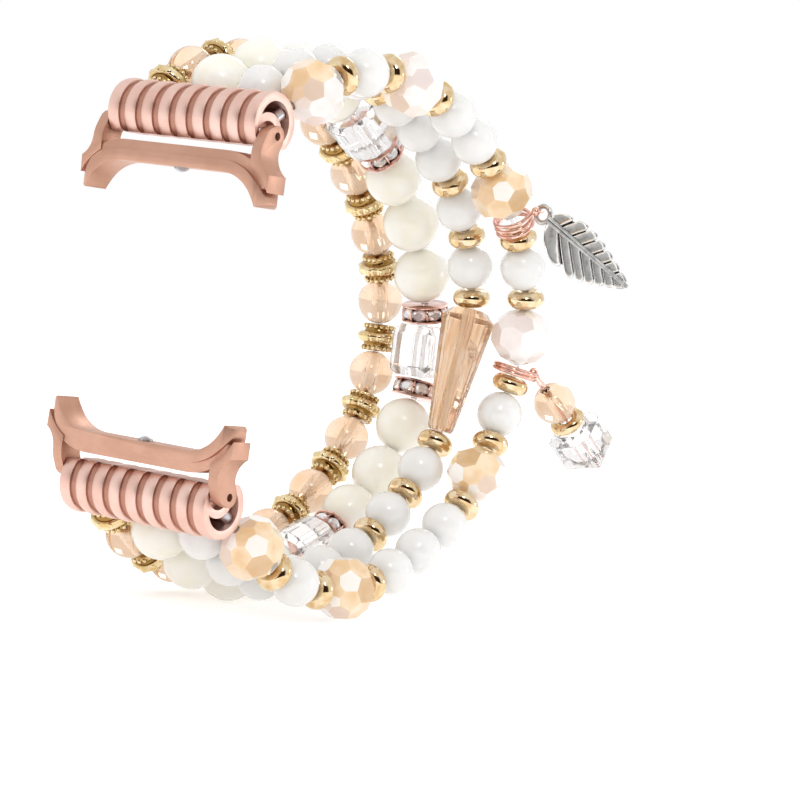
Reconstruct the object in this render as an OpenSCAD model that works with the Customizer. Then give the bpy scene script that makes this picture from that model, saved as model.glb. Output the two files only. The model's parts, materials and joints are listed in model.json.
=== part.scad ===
// Beaded elastic wrist strap: four strands of beads on elastic cord run between two ribbed
// barrels. Each barrel turns on a spring bar held by the ears of a sliding lug adapter.
// X runs across the strap, Y away from the viewer into the loop, Z up from lower to upper lug.
// The origin is the middle of the space between the two adapters.

/* [Space between the adapters] */
// Half of the width that the rails follow
space_half_w = 17; // [15:0.5:19]
// Half of the height that the rails follow
space_half_h = 20; // [18:0.5:22]
// Radius of the rounded corners that the rails follow
space_corner_r = 9; // [8:0.5:10]

/* [Lug adapter] */
// Depth of each rail's place along Y
rail_y = 7.3; // [7:0.1:8]
// Thickness of the rail's head along Y
head_t = 4.2; // [3.8:0.1:4.6]
// Height of the rail's head
head_h = 1.4; // [1.2:0.1:1.8]
// Thickness of the rail's neck along Y
neck_t = 3; // [2.6:0.1:3.4]
// Height of the rail's neck
neck_h = 1.2; // [1:0.1:1.6]
// How far the neck's top stays below the outline it follows
neck_drop = 0.8; // [0.6:0.1:1.2]
// Angle above level, seen from a corner's centre, at which the rail's head ends
head_end_turn = 20; // [15:1:25]
// Angle above level, seen from a corner's centre, at which the neck ends
neck_end_turn = 36; // [32:1:40]
// Thickness of an ear along X
ear_t = 1.4; // [1.2:0.1:1.6]
// Radius of an ear's rounded nose
ear_nose_r = 1.25; // [1.1:0.05:1.4]
// Radius of the hollow where an ear flares into the rail
flare_r = 3; // [2.5:0.1:3.4]
// Height of the outline's top above the start of that flare
flare_drop = 0.6; // [0.4:0.1:0.8]

/* [Adapter catch] */
// Radius of the catch plunger
plunger_r = 0.9; // [0.7:0.05:1]
// Length of the catch plunger
plunger_l = 1.3; // [1:0.1:1.5]
// Radius of the plunger's rounded nose
plunger_nose_r = 1.3; // [1.2:0.1:1.6]
// How far the plunger stands out of the rail
plunger_out = 0.6; // [0.4:0.1:0.8]
// Wall left above the plunger's blind hole
catch_wall = 0.4; // [0.3:0.1:0.6]
// Wall thickness of the sleeve that the small coil spring fills
catch_spring_t = 0.3; // [0.2:0.05:0.4]

/* [Ribbed barrel] */
// Outer radius over the ribs
barrel_r = 3.9; // [3.7:0.05:4.1]
// Depth of the barrel's centre along Y
barrel_y = 9.5; // [9.3:0.1:9.7]
// Height of the barrel's centre
barrel_z = 23; // [22.9:0.1:23.4]
// Length of the barrel
barrel_l = 23; // [22:0.5:23.5]
// Number of ribs
rib_n = 9; // [7:1:11]
// Share of the rib pitch that the rib fills
rib_share = 0.62; // [0.5:0.02:0.72]
// Depth of the grooves between the ribs
groove_depth = 0.35; // [0.2:0.05:0.45]
// Rise of each rib's rounded crown
crown_rise = 0.15; // [0.1:0.01:0.2]
// Distance of the flat underside below the barrel's centre
flat_drop = 2.8; // [2.7:0.05:2.9]
// Radius of the hollow for the cord ends
hollow_r = 2.75; // [2.65:0.05:2.8]

/* [Spring bar] */
// Distance of the bar's axis in front of the barrel's centre
pin_front = 1.15; // [1.05:0.05:1.25]
// Distance of the bar's axis below the barrel's centre
pin_below = 1.5; // [1.4:0.05:1.6]
// Outer radius of the bar's tube
tube_r = 0.85; // [0.8:0.01:0.88]
// Inner radius of the bar's tube
tube_bore_r = 0.52; // [0.5:0.01:0.56]
// Radius of the tips and of their stems
tip_r = 0.45; // [0.4:0.01:0.47]
// Length of a tip's collar
collar_l = 0.35; // [0.25:0.05:0.4]
// Radius of a tip's collar
collar_r = 0.8; // [0.7:0.01:0.83]
// How far each tip slides when it is pressed
tip_travel = 0.85; // [0.8:0.01:0.9]
// How far a tip stays below the outside of its ear
tip_recess = 0.6; // [0.4:0.1:0.8]
// Length of the stem inside the tube
stem_l = 1.6; // [1.2:0.1:2.4]
// Radius of the round recess at each end of the barrel
recess_r = 1.75; // [1.6:0.05:1.85]
// Depth of that recess
recess_l = 1.2; // [1.1:0.05:1.3]

/* [Cord] */
// Radius of the elastic cord
cord_r = 0.4; // [0.35:0.01:0.45]
// Angle above level at which the cords leave the barrel
exit_angle = 32; // [28:1:36]
// Radius of a crimp
crimp_r = 0.75; // [0.65:0.05:0.8]
// Length of a crimp
crimp_l = 1.3; // [1:0.1:1.35]
// Distance between the strands where they leave the barrel
hole_pitch = 6.9; // [6.7:0.05:6.95]
// Distance between the strands at the back of the loop
back_pitch = 7.8; // [7.6:0.05:8.2]

/* [Loop shape] */
// Angle from the back of the loop to each barrel
exit_turn = 130; // [128:1:132]
// How far the loop differs from an ellipse
loop_egg = 0.04; // [0.02:0.005:0.06]
// How far the back of each of the four strands sags
strand_sag = [2.4, 3.4, 1.7, 2]; // [0:0.1:4]
// How far each strand leans up at the upper side and down at the lower side
strand_lean = [0.3, 0, 1.5, 0.8]; // [0:0.1:2]
// How far the back of each strand lies to the right of its even place
strand_shift = [0.7, 0.3, 1.2, 0.8]; // [0:0.1:1.4]
// How far the crystal charm pulls its strand to the left
charm_pull = 1.5; // [0:0.1:2]

/* [Beads] */
// Diameter of the milky round beads
milky_d = 6.12; // [6:0.02:6.3]
// Diameter of the amber-coloured round beads
amber_d = 6.12; // [6:0.02:6.3]
// Diameter of the cream round beads
cream_d = 7.66; // [7.5:0.02:7.8]
// Length of the gold ring spacers along the cord
gold_l = 2.35; // [2.2:0.05:2.5]
// Diameter of the gold ring spacers
gold_d = 5; // [4.6:0.1:5.4]
// Length of the scalloped spacers along the cord
daisy_l = 3.7; // [3.4:0.05:3.9]
// Diameter of the scalloped spacers
daisy_d = 5.8; // [5.4:0.1:6]
// Length of the scalloped rim round the spacers' middle
daisy_rim_l = 1.5; // [1.2:0.1:1.8]
// Diameter of the collar on each side of that rim
daisy_collar_d = 4.4; // [4:0.1:4.8]
// Number of scallops round the rim
daisy_n = 11; // [9:1:13]
// Radius of a scallop
scallop_r = 0.87; // [0.8:0.01:0.95]
// Length of the faceted beads along the cord
faceted_l = 7.6; // [7.4:0.05:7.7]
// Diameter of the faceted beads
faceted_d = 7.9; // [7.6:0.05:8]
// Diameter of the faceted beads' flat ends
faceted_end_d = 1.8; // [1.6:0.1:2.4]
// Length of the long cone
cone_l = 16.9; // [16:0.1:17.5]
// Diameter of the cone near its wide end
cone_wide_d = 7.3; // [7:0.1:7.6]
// Diameter of the flat at that end
cone_top_d = 4.8; // [4.2:0.1:5.6]
// Height of the bevel round that flat
cone_bevel = 1.1; // [0.6:0.1:1.6]
// Number of the cone's long facets
cone_n = 8; // [6:1:12]
// Diameter of the cone's narrow end
cone_narrow_d = 3.6; // [3.4:0.1:4]
// Length of the crystal cube along the cord
cube_l = 7; // [6.8:0.1:7.2]
// Width of the crystal cube
cube_w = 7; // [6.6:0.1:7.2]
// Share of a crystal's corner that its chamfers leave
cube_cut = 0.83; // [0.79:0.01:0.84]
// Length of the crystal prisms along the cord
prism_l = 7.1; // [6.9:0.1:7.3]
// Diameter of the crystal prisms
prism_d = 8; // [7.6:0.1:8.2]
// Diameter of the prisms' flat ends
prism_end_d = 5.2; // [4.6:0.1:6]
// Number of the prisms' sides
prism_n = 10; // [8:2:12]
// Length of the rhinestone rings along the cord
stone_ring_l = 2.3; // [2.1:0.05:2.4]
// Diameter of the rhinestone rings
stone_ring_d = 6.4; // [6.2:0.1:6.6]
// Diameter of the core that the stones are set in
stone_ring_core_d = 4.4; // [4.2:0.1:4.6]
// Number of stones round a ring
stone_n = 8; // [6:1:9]
// Diameter of a stone
stone_d = 1.5; // [1.2:0.05:1.6]

/* [Leaf charm] */
// Distance of the leaf's hook from the middle of its winding, across the strap
hook_x = 4; // [3.9:0.1:4.4]
// Distance of the hook's bend behind the middle of its winding
hook_y = 0.7; // [0.6:0.1:1]
// Height of the hook above the middle of its winding
hook_z = 1.7; // [1.4:0.1:2]
// Radius of the wire winding that carries the leaf, to the wire's middle
winding_r = 2.45; // [2.35:0.05:2.6]
// Radius of the winding's wire
winding_wire_r = 0.2; // [0.17:0.01:0.22]
// Turns of the winding
winding_turns = 2.5; // [2.25:0.25:2.5]
// Length of the winding along the cord, over the wire
winding_l = 2.5; // [2.4:0.05:2.6]
// Radius of the ball at the wire's end
ball_r = 0.6; // [0.5:0.05:0.7]
// Length of the leaf blade
leaf_l = 15.8; // [14:0.2:18]
// Half width of the blade's narrow side
leaf_up_w = 2.7; // [2:0.1:3]
// Half width of the blade's wide side
leaf_down_w = 4.3; // [3.5:0.1:4.8]
// Number of lobes on each side
lobe_n = 7; // [5:1:8]
// Share of the blade's width that the cuts between the lobes take
lobe_cut = 0.24; // [0.1:0.02:0.3]
// Share of a lobe's width by which it leans towards the tip
lobe_lean = 0.22; // [0.1:0.02:0.3]
// Thickness of the leaf
leaf_t = 0.9; // [0.7:0.05:1.2]
// Thickness of the leaf at its midrib
midrib_t = 1.2; // [1:0.05:1.4]
// Width of the midrib at its root
midrib_w = 0.7; // [0.5:0.05:1]
// Angle of the blade below level
leaf_angle = 29; // [20:1:35]
// Radius of the leaf's ring, to the wire's middle
leaf_ring_r = 1.1; // [1:0.05:1.15]
// Radius of the leaf ring's wire
leaf_ring_wire_r = 0.34; // [0.3:0.02:0.36]

/* [Crystal charm] */
// Radius of the ring round the strand, to the wire's middle
ring_r = 2.8; // [2.7:0.05:2.9]
// Radius of the ring's two wires
ring_wire_r = 0.32; // [0.3:0.01:0.34]
// Distance between the ring's two wires
ring_wire_step = 0.5; // [0.4:0.05:0.55]
// Radius of the small eye on the ring, to the wire's middle
eye_r = 0.55; // [0.55:0.01:0.6]
// Radius of the eye's wire
eye_wire_r = 0.22; // [0.2:0.01:0.23]
// Direction of the eye from the strand, turned from +X towards +Y
eye_turn = 78; // [70:1:85]
// Angle of the hanging charm away from straight down
hang_tilt = 52; // [46:1:60]
// Length of the straight sides of the head pin's loop
pin_loop_l = 2; // [1.6:0.1:2.4]
// Radius of the head pin's loop, to the wire's middle
pin_loop_r = 0.5; // [0.5:0.01:0.53]
// Radius of the head pin's wire
pin_wire_r = 0.2; // [0.18:0.01:0.21]
// Diameter of the charm's amber-coloured bead
charm_bead_d = 5.7; // [5.4:0.1:6]
// Length of the charm's gold spacer
charm_spacer_l = 1.6; // [1.4:0.1:1.8]
// Width and length of the charm's crystal cube
charm_cube_w = 6.6; // [6.2:0.1:7]
// Turn of that cube about its pin
charm_cube_turn = 15; // [0:1:89]
// Radius of the head at the pin's end
pin_head_r = 0.5; // [0.4:0.05:0.6]
// Thickness of that head
pin_head_l = 0.35; // [0.25:0.05:0.5]

/* [Clearances] */
// Play round the cord in every bead and hole
cord_play = 0.1; // [0.06:0.01:0.12]
// Play round the cord in a crimp
crimp_play = 0.05; // [0.03:0.01:0.06]
// Play between turning or sliding metal pieces
fit = 0.05; // [0.03:0.01:0.06]
// Gap between an ear and the end of the barrel
ear_gap = 0.2; // [0.15:0.05:0.25]
// Depth of a pressed-out tip's collar below the end of the barrel
collar_gap = 0.1; // [0.05:0.01:0.2]
// Gap between a round bead and its neighbour
bead_gap = 0.12; // [0.1:0.01:0.2]
// Gap beside a bead with flat ends, which tilts against its neighbour
flat_gap = 0.6; // [0.56:0.02:0.7]
// Gap beside the crystal cube, whose corners turn past the rings
cube_gap = 0.96; // [0.92:0.02:1.1]
// Gap beside a faceted bead
faceted_gap = 0.46; // [0.44:0.02:0.6]
// Gap beside the long cone, which tilts most
cone_gap = 1.25; // [1:0.05:1.4]
// Distance from the barrel to the first bead of each strand
first_gap = 0.85; // [0.7:0.05:1]
// Gap between the ball at the winding's end and the leaf's ring
ball_gap = 0.2; // [0.15:0.05:0.3]
// Gap between a crimp's end and the wall that stops it
crimp_gap = 0.15; // [0.15:0.01:0.25]

/* [Hidden] */
$fn = 48;
// Any length longer than the cut it makes
over = 1;
far = 60;
pin_y = barrel_y - pin_front;
pin_z = barrel_z - pin_below;
flat_z = barrel_z - flat_drop;
rib_pitch = barrel_l / (rib_n - 1 + rib_share);
rib_w = rib_share * rib_pitch;
ear_x = barrel_l / 2 + ear_gap;
collar_x = barrel_l / 2 - collar_gap - collar_l;
tube_half_l = collar_x - tip_travel - fit;
tip_end_x = ear_x + ear_t - tip_recess;
stem_x = tube_half_l - stem_l;
cord_hole_r = cord_r + cord_play;
exit_dir = [0, cos(exit_angle), sin(exit_angle)];
barrel_c = [0, barrel_y, barrel_z];
corner_x = space_half_w - space_corner_r;
corner_z = space_half_h - space_corner_r;
root_x = corner_x + (space_corner_r - neck_drop) * cos(neck_end_turn);
rail_top = space_half_h - neck_drop;
rail_bottom = rail_top - neck_h - head_h;
plunger_hole_r = plunger_r + fit;
plunger_top = rail_bottom - plunger_out + plunger_l;
catch_top = rail_top - catch_wall;

// Lengths along the cord and the gap that each kind of bead needs
KINDS = [
    ["milky", milky_d, bead_gap], ["amber", amber_d, bead_gap], ["cream", cream_d, 2 * bead_gap],
    ["gold", gold_l, bead_gap], ["daisy", daisy_l, bead_gap], ["faceted", faceted_l, faceted_gap],
    ["cone", cone_l, cone_gap], ["cube", cube_l, cube_gap], ["prism", prism_l, flat_gap],
    ["stone_ring", stone_ring_l, flat_gap], ["winding", winding_l, 2 * bead_gap],
    ["ring", ring_wire_step + 2 * ring_wire_r, 2 * bead_gap]
];
function kind_row(name) = [for (row = KINDS) if (row[0] == name) row][0];
function kind_length(name) = kind_row(name)[1];
function kind_room(name) = kind_length(name) + kind_row(name)[2];
function times(n, what) = [for (i = [1:n]) each what];

// The four strands from the upper barrel round the back to the lower barrel
STRAND_A = concat(["daisy"], times(14, ["amber", "daisy"]));
STRAND_B = concat(
    times(4, ["cream"]), ["prism", "stone_ring"], times(3, ["cream"]), ["stone_ring", "cube", "stone_ring"],
    times(3, ["cream"]), ["stone_ring", "prism"], times(4, ["cream"])
);
STRAND_C = concat(
    times(4, ["milky"]), ["gold"], times(3, ["milky"]), times(2, ["gold", "milky"]),
    ["gold", "cone"], times(3, ["gold", "milky"]), times(5, ["milky"])
);
STRAND_D = concat(
    ["faceted", "gold", "milky", "gold", "faceted", "gold", "milky", "milky", "gold", "faceted"],
    ["winding", "gold", "milky", "gold", "faceted", "ring", "gold", "milky", "gold", "faceted"],
    ["gold", "milky", "milky", "milky", "gold", "faceted", "gold", "milky", "gold", "faceted"]
);

function swell(a) = 1 + loop_egg * cos(3 * a);
function ease(a) = (cos(a) - cos(exit_turn)) / (1 - cos(exit_turn));
function opening_out(t) = 1 - pow(1 - sin(180 * t), 3);
// Place of each strand, counted in pitches from the middle
PLACES = [-1.5, -0.5, 0.5, 1.5];
// Pull of the crystal charm on its strand, which fades out on both sides of the charm
CHARM_STRAND = 3;
CHARM_SHARE = 0.55;
CHARM_REACH = 0.05;
function pulled(t, n) =
    n == CHARM_STRAND ? charm_pull * exp(-pow((t - CHARM_SHARE) / CHARM_REACH, 2)) : 0;
start_p = barrel_c + (barrel_r + first_gap) * exit_dir;
// Point of strand n's line, at share t of the turn from the upper barrel to the lower one
function loop_point(t, n, depth) =
    let (a = exit_turn * (1 - 2 * t), r = swell(a), exit_r = swell(exit_turn), out = opening_out(t))
    [
        PLACES[n] * (hole_pitch + (back_pitch - hole_pitch) * out) + strand_shift[n] * out - pulled(t, n),
        start_p.y + depth * (r * cos(a) - exit_r * cos(exit_turn)) + strand_lean[n] * sin(2 * a) * ease(a),
        start_p.z * r * sin(a) / (exit_r * sin(exit_turn)) - strand_sag[n] * ease(a)
    ];
LOOP_STEPS = 120;
function loop_table(n, depth) = [
    for (
        i = 0, p = loop_point(0, n, depth), s = 0;
        i <= LOOP_STEPS;
        q = p,
        i = i + 1,
        p = loop_point(i / LOOP_STEPS, n, depth),
        s = s + norm(p - q)
    ) [s, i / LOOP_STEPS]
];
function loop_length(n, depth) = loop_table(n, depth)[LOOP_STEPS][0];
// Depth of the loop at which a strand's line is as long as its beads, found by halving
DEPTH_LOW = 20;
DEPTH_HIGH = 45;
DEPTH_TRIES = 24;
function solve_depth(n, total, low, high, tries) =
    let (mid = (low + high) / 2)
    tries == 0 ? mid
    : loop_length(n, mid) < total ? solve_depth(n, total, mid, high, tries - 1)
    : solve_depth(n, total, low, mid, tries - 1);
// A straight bead takes a little more of the curved line than its own length
TYPICAL_R = 31;
function line_share(name) = let (s = kind_room(name)) s + pow(s, 3) / (24 * TYPICAL_R * TYPICAL_R);
function running_sum(list) = [
    for (i = 0, s = 0; i <= len(list); s = s + (i < len(list) ? list[i] : 0), i = i + 1) s
];
// Where each bead of a strand begins and ends, as points on the loop's line
function joints_of(strand, n) =
    let (
        places = running_sum([for (name = strand) line_share(name)]),
        depth = solve_depth(n, places[len(strand)], DEPTH_LOW, DEPTH_HIGH, DEPTH_TRIES),
        table = loop_table(n, depth)
    )
    [for (s = places) loop_point(lookup(s, table), n, depth)];
// Each bead as its kind, its middle and the direction of its bore
function beads_of(strand, joints) = [
    for (i = [0:len(strand) - 1])
        [strand[i], (joints[i] + joints[i + 1]) / 2, unit(joints[i + 1] - joints[i])]
];
function unit(v) = v / norm(v);
function of_kind(beads, name) = [for (b = beads) if (b[0] == name) b];
JOINTS_A = joints_of(STRAND_A, 0);
JOINTS_B = joints_of(STRAND_B, 1);
JOINTS_C = joints_of(STRAND_C, 2);
JOINTS_D = joints_of(STRAND_D, 3);
BEADS_A = beads_of(STRAND_A, JOINTS_A);
BEADS_B = beads_of(STRAND_B, JOINTS_B);
BEADS_C = beads_of(STRAND_C, JOINTS_C);
BEADS_D = beads_of(STRAND_D, JOINTS_D);

// Tube swept along points, with flat ends and no twist
function tube_axis(points, i) =
    let (
        before = points[max(i - 1, 0)],
        after = points[min(i + 1, len(points) - 1)],
        here = points[i]
    )
    i == 0 ? unit(after - here)
    : i == len(points) - 1 ? unit(here - before)
    : unit(unit(after - here) + unit(here - before));
module tube_along(points, r, sides, start_side) {
    axes = [for (i = [0:len(points) - 1]) tube_axis(points, i)];
    sides_of = [
        for (i = 0, s = square_to(start_side, axes[0]); i < len(points);
            i = i + 1, s = i < len(points) ? square_to(s, axes[i]) : s) s
    ];
    rings = [
        for (i = [0:len(points) - 1], j = [0:sides - 1])
            let (s = sides_of[i], c = cross(axes[i], s), turn = 360 * j / sides)
            points[i] + r * (cos(turn) * s + sin(turn) * c)
    ];
    last = (len(points) - 1) * sides;
    walls = [
        for (i = [0:len(points) - 2], j = [0:sides - 1], half = [0, 1])
            let (a = i * sides + j, b = i * sides + (j + 1) % sides)
            half == 0 ? [a, a + sides, b + sides] : [a, b + sides, b]
    ];
    ends = [
        for (j = [1:sides - 2], end = [0, 1])
            end == 0 ? [0, j, j + 1] : [last, last + j + 1, last + j]
    ];
    polyhedron(rings, concat(walls, ends), convexity = 10);
}
function square_to(s, axis) = unit(s - (s * axis) * axis);

// Puts a bead's own Z axis along its bore
module at_bead(b) {
    d = b[2];
    translate(b[1]) rotate([0, acos(d.z), atan2(d.y, d.x)]) children();
}
module along_x() {
    rotate([0, 90, 0]) children();
}
module lower_side(lower) {
    mirror([0, 0, lower ? 1 : 0]) children();
}

// Lug adapter
module followed_outline(inset) {
    r = space_corner_r - inset;
    square([2 * corner_x, 2 * (corner_z + r)], center = true);
    square([2 * (corner_x + r), 2 * corner_z], center = true);
    for (x = [-corner_x, corner_x], z = [-corner_z, corner_z]) translate([x, z]) circle(r = r);
}
// Part of the outline between two insets, down to an angle seen from the corner's centre
module rail_band(outer, inner, thick, end_turn) {
    end_r = thick / 2;
    half_l = corner_x + (space_corner_r - outer) * cos(end_turn);
    end_z = corner_z + far * sin(end_turn);
    end_x = corner_x + far * cos(end_turn);
    intersection() {
        translate([0, rail_y, 0]) rotate([90, 0, 0]) linear_extrude(thick, center = true)
            intersection() {
                difference() {
                    followed_outline(outer);
                    followed_outline(inner);
                }
                polygon([[-end_x, end_z], [-corner_x, corner_z], [corner_x, corner_z],
                    [end_x, end_z], [end_x, far], [-end_x, far]]);
            }
        linear_extrude(far) {
            translate([0, rail_y]) square([2 * (half_l - end_r), thick], center = true);
            for (x = [-1, 1]) translate([x * (half_l - end_r), rail_y]) circle(r = end_r);
        }
    }
}
// Side view of an ear, measured from the spring bar's axis
EAR_SIDE = [
    [0.55, 1.12], [0.95, 0.75], [1.2, 0.3], [1.25, -0.1], [1.2, -0.6], [1.05, -1.05], [0.75, -1.6],
    [0.62, -2.1], [0.62, -7.2], [-2.55, -7.2], [-2.8, -2.6], [-2.75, -1.8], [-2.55, -1.1],
    [-2.3, -0.6], [-2, 0], [-1.75, 0.45], [-1.3, 0.85], [-0.6, 1.1]
];
module ear() {
    flare_z = space_half_h - flare_drop;
    difference() {
        intersection() {
            translate([ear_x, pin_y, pin_z]) rotate([90, 0, 90]) linear_extrude(root_x - ear_x) {
                circle(r = ear_nose_r);
                polygon(EAR_SIDE);
            }
            translate([0, far / 2, 0]) rotate([90, 0, 0]) linear_extrude(far) {
                translate([ear_x, flare_z - over]) square([ear_t, far]);
                difference() {
                    translate([ear_x, corner_z]) square([root_x - ear_x, flare_z - corner_z]);
                    translate([ear_x + ear_t + flare_r, flare_z]) circle(r = flare_r);
                    followed_outline(neck_drop + neck_h / 2);
                }
            }
        }
        translate([0, pin_y, pin_z]) along_x() cylinder(r = tip_r + fit, h = far);
    }
}
module lug_adapter(lower) {
    color("#e3bfae") lower_side(lower) difference() {
        union() {
            rail_band(neck_drop, neck_drop + neck_h + head_h / 2, neck_t, neck_end_turn);
            rail_band(neck_drop + neck_h, neck_drop + neck_h + head_h, head_t, head_end_turn);
            ear();
            mirror([1, 0, 0]) ear();
        }
        translate([0, rail_y, 0]) cylinder(r = plunger_hole_r, h = catch_top);
    }
}
module catch_plunger(lower) {
    color("#c9c9cc") lower_side(lower) translate([0, rail_y, plunger_top - plunger_l]) intersection() {
        cylinder(r = plunger_r, h = plunger_l);
        translate([0, 0, plunger_nose_r]) sphere(r = plunger_nose_r);
    }
}
module catch_spring(lower) {
    color("#a8a8ac") lower_side(lower) translate([0, rail_y, plunger_top]) difference() {
        cylinder(r = plunger_r, h = catch_top - plunger_top);
        cylinder(r = plunger_r - catch_spring_t, h = 2 * far, center = true);
    }
}

// Ribbed barrel
module barrel_profile() {
    crown_r = (pow(rib_w / 2, 2) + pow(crown_rise, 2)) / (2 * crown_rise);
    translate([0, -barrel_l / 2]) square([barrel_r - groove_depth - crown_rise / 2, barrel_l]);
    for (i = [0:rib_n - 1])
        translate([0, (i - (rib_n - 1) / 2) * rib_pitch]) intersection() {
            translate([0, -rib_w / 2]) square([barrel_r, rib_w]);
            translate([barrel_r - crown_r, 0]) circle(r = crown_r);
        }
}
module cord_hole(x, r) {
    translate([x, barrel_y, barrel_z]) rotate([exit_angle - 90, 0, 0]) cylinder(r = r, h = far);
}
module ribbed_barrel(lower) {
    color("#f0cbbb") lower_side(lower) difference() {
        intersection() {
            translate(barrel_c) along_x() rotate_extrude() barrel_profile();
            translate([-far / 2, 0, flat_z]) cube([far, far, far]);
        }
        translate([0, pin_y, pin_z]) along_x() cylinder(r = tube_r + fit, h = far, center = true);
        for (s = [-1, 1]) translate([s * (barrel_l / 2 - recess_l), pin_y, pin_z])
            rotate([0, s * 90, 0]) cylinder(r = recess_r, h = far);
        difference() {
            translate(barrel_c) along_x() cylinder(r = hollow_r, h = far, center = true);
            translate([0, pin_y, pin_z]) along_x() cylinder(r = hollow_r, h = 2 * far, center = true);
        }
        for (k = PLACES) cord_hole(k * hole_pitch, cord_hole_r);
    }
}
// Where a crimp begins and ends along its cord, measured from the barrel's centre
crimp_end = hollow_r - crimp_gap;
crimp_start = crimp_end - crimp_l;
module crimps(lower) {
    color("#d8d8da") lower_side(lower) for (k = PLACES)
        translate([k * hole_pitch, barrel_y, barrel_z]) rotate([exit_angle - 90, 0, 0])
            translate([0, 0, crimp_start]) difference() {
                cylinder(r = crimp_r, h = crimp_l);
                cylinder(r = cord_r + crimp_play, h = 2 * far, center = true);
            }
}

// Spring bar
module spring_bar_tube(lower) {
    color("#b9b9bd") lower_side(lower) translate([0, pin_y, pin_z]) along_x() difference() {
        cylinder(r = tube_r, h = 2 * tube_half_l, center = true);
        cylinder(r = tube_bore_r, h = far, center = true);
    }
}
module spring_bar_tip(lower, side) {
    color("#c4c4c8") lower_side(lower) translate([0, pin_y, pin_z]) rotate([0, side * 90, 0]) {
        translate([0, 0, stem_x]) cylinder(r = tip_r, h = tip_end_x - stem_x);
        translate([0, 0, collar_x]) cylinder(r = collar_r, h = collar_l);
    }
}
// The sleeve is as long as the bar's spring is when both tips are pressed
module spring_bar_spring(lower) {
    half_l = stem_x - tip_travel - fit;
    color("#a8a8ac") lower_side(lower) translate([0, pin_y, pin_z]) along_x() difference() {
        cylinder(r = tube_bore_r - fit / 2, h = 2 * half_l, center = true);
        cylinder(r = tube_bore_r / 2, h = far, center = true);
    }
}

// Elastic cord of one strand, with more rings in the longer beads
RING_STEP = 2.6;
CORD_SIDES = 8;
module elastic_cord(strand, joints, k) {
    hole = [k * hole_pitch, barrel_y, barrel_z];
    low_hole = [hole.x, hole.y, -hole.z];
    low_dir = [0, exit_dir.y, -exit_dir.z];
    start = crimp_start - crimp_gap;
    beads = [
        for (i = [0:len(strand) - 1])
            let (n = max(1, round(kind_length(strand[i]) / RING_STEP)))
            for (j = [0:n - 1]) joints[i] + (joints[i + 1] - joints[i]) * j / n
    ];
    color("#e9e4da") tube_along(
        concat([hole + start * exit_dir], beads, [joints[len(strand)], low_hole + start * low_dir]),
        cord_r, CORD_SIDES, [1, 0, 0]
    );
}

// Beads
module bored(length) {
    difference() {
        children();
        cylinder(r = cord_hole_r, h = length + over, center = true);
    }
}
module round_bead(d) {
    bored(d) sphere(d = d);
}
module gold_spacer(d, l) {
    bored(l) {
        rotate_extrude() intersection() {
            translate([d / 2 - l / 2, 0]) circle(d = l);
            translate([0, -l]) square([d, 2 * l]);
        }
        cylinder(r = d / 2 - l / 2, h = l, center = true);
    }
}
// Spacer with a scalloped rim between two collars
module daisy_spacer() {
    scallop_out = daisy_d / 2 - scallop_r;
    bored(daisy_l) {
        cylinder(d = daisy_collar_d, h = daisy_l, center = true);
        linear_extrude(daisy_rim_l, center = true) {
            circle(r = scallop_out);
            for (i = [0:daisy_n - 1]) rotate(360 * i / daisy_n)
                translate([scallop_out, 0]) circle(r = scallop_r);
        }
    }
}
module faceted_bead() {
    r = faceted_d / 2;
    h = faceted_l / 2;
    end_r = faceted_end_d / 2;
    shoulder = [0.78 * r, 0.62 * h];
    girdle_h = 0.1 * h;
    bored(faceted_l) rotate_extrude($fn = 10)
        polygon([[0, -h], [end_r, -h], [shoulder.x, -shoulder.y], [r, -girdle_h],
            [r, girdle_h], shoulder, [end_r, h], [0, h]]);
}
// Long faceted cone, its wide end nearer the upper barrel
module long_cone() {
    h = cone_l / 2;
    wide = cone_wide_d / 2;
    narrow = cone_narrow_d / 2;
    tip_bevel = 0.4;
    break_at = [narrow + 0.73 * (wide - narrow), -h / 3];
    bored(cone_l) rotate_extrude($fn = cone_n)
        polygon([[0, -h], [cone_top_d / 2, -h], [wide, cone_bevel - h], break_at,
            [narrow, h - tip_bevel], [narrow - tip_bevel, h], [0, h]]);
}
module chamfered_cube(w, l) {
    across = cube_cut * sqrt(2) * w;
    along = cube_cut * (w + l) / sqrt(2);
    intersection() {
        cube([w, w, l], center = true);
        rotate([0, 0, 45]) cube([across, across, 2 * l], center = true);
        rotate([45, 0, 0]) cube([2 * w, along, along], center = true);
        rotate([0, 45, 0]) cube([along, 2 * w, along], center = true);
    }
}
module crystal_prism(b) {
    color("#e9e6e4") at_bead(b) bored(prism_l) intersection() {
        cylinder(d = prism_d, h = prism_l, center = true, $fn = prism_n);
        sphere(r = norm([prism_l, prism_end_d]) / 2);
    }
}
module rhinestone_ring(b) {
    rim_l = (stone_ring_l - stone_d) / 2 - fit;
    color("#dba795") at_bead(b) bored(stone_ring_l) {
        cylinder(d = stone_ring_core_d, h = stone_ring_l, center = true);
        for (s = [-1, 1]) translate([0, 0, s * (stone_ring_l - rim_l) / 2])
            cylinder(d = stone_ring_d, h = rim_l, center = true);
    }
}
module ring_stones(b) {
    below_rim = 0.15;
    color("#f4f4f6") at_bead(b) for (i = [0:stone_n - 1]) rotate([0, 90, 360 * i / stone_n])
        translate([0, 0, stone_ring_core_d / 2 + fit / 2])
            cylinder(d = stone_d, h = (stone_ring_d - stone_ring_core_d) / 2 - below_rim);
}
module all_at(beads, shade) {
    color(shade) for (b = beads) at_bead(b) children();
}

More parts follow.
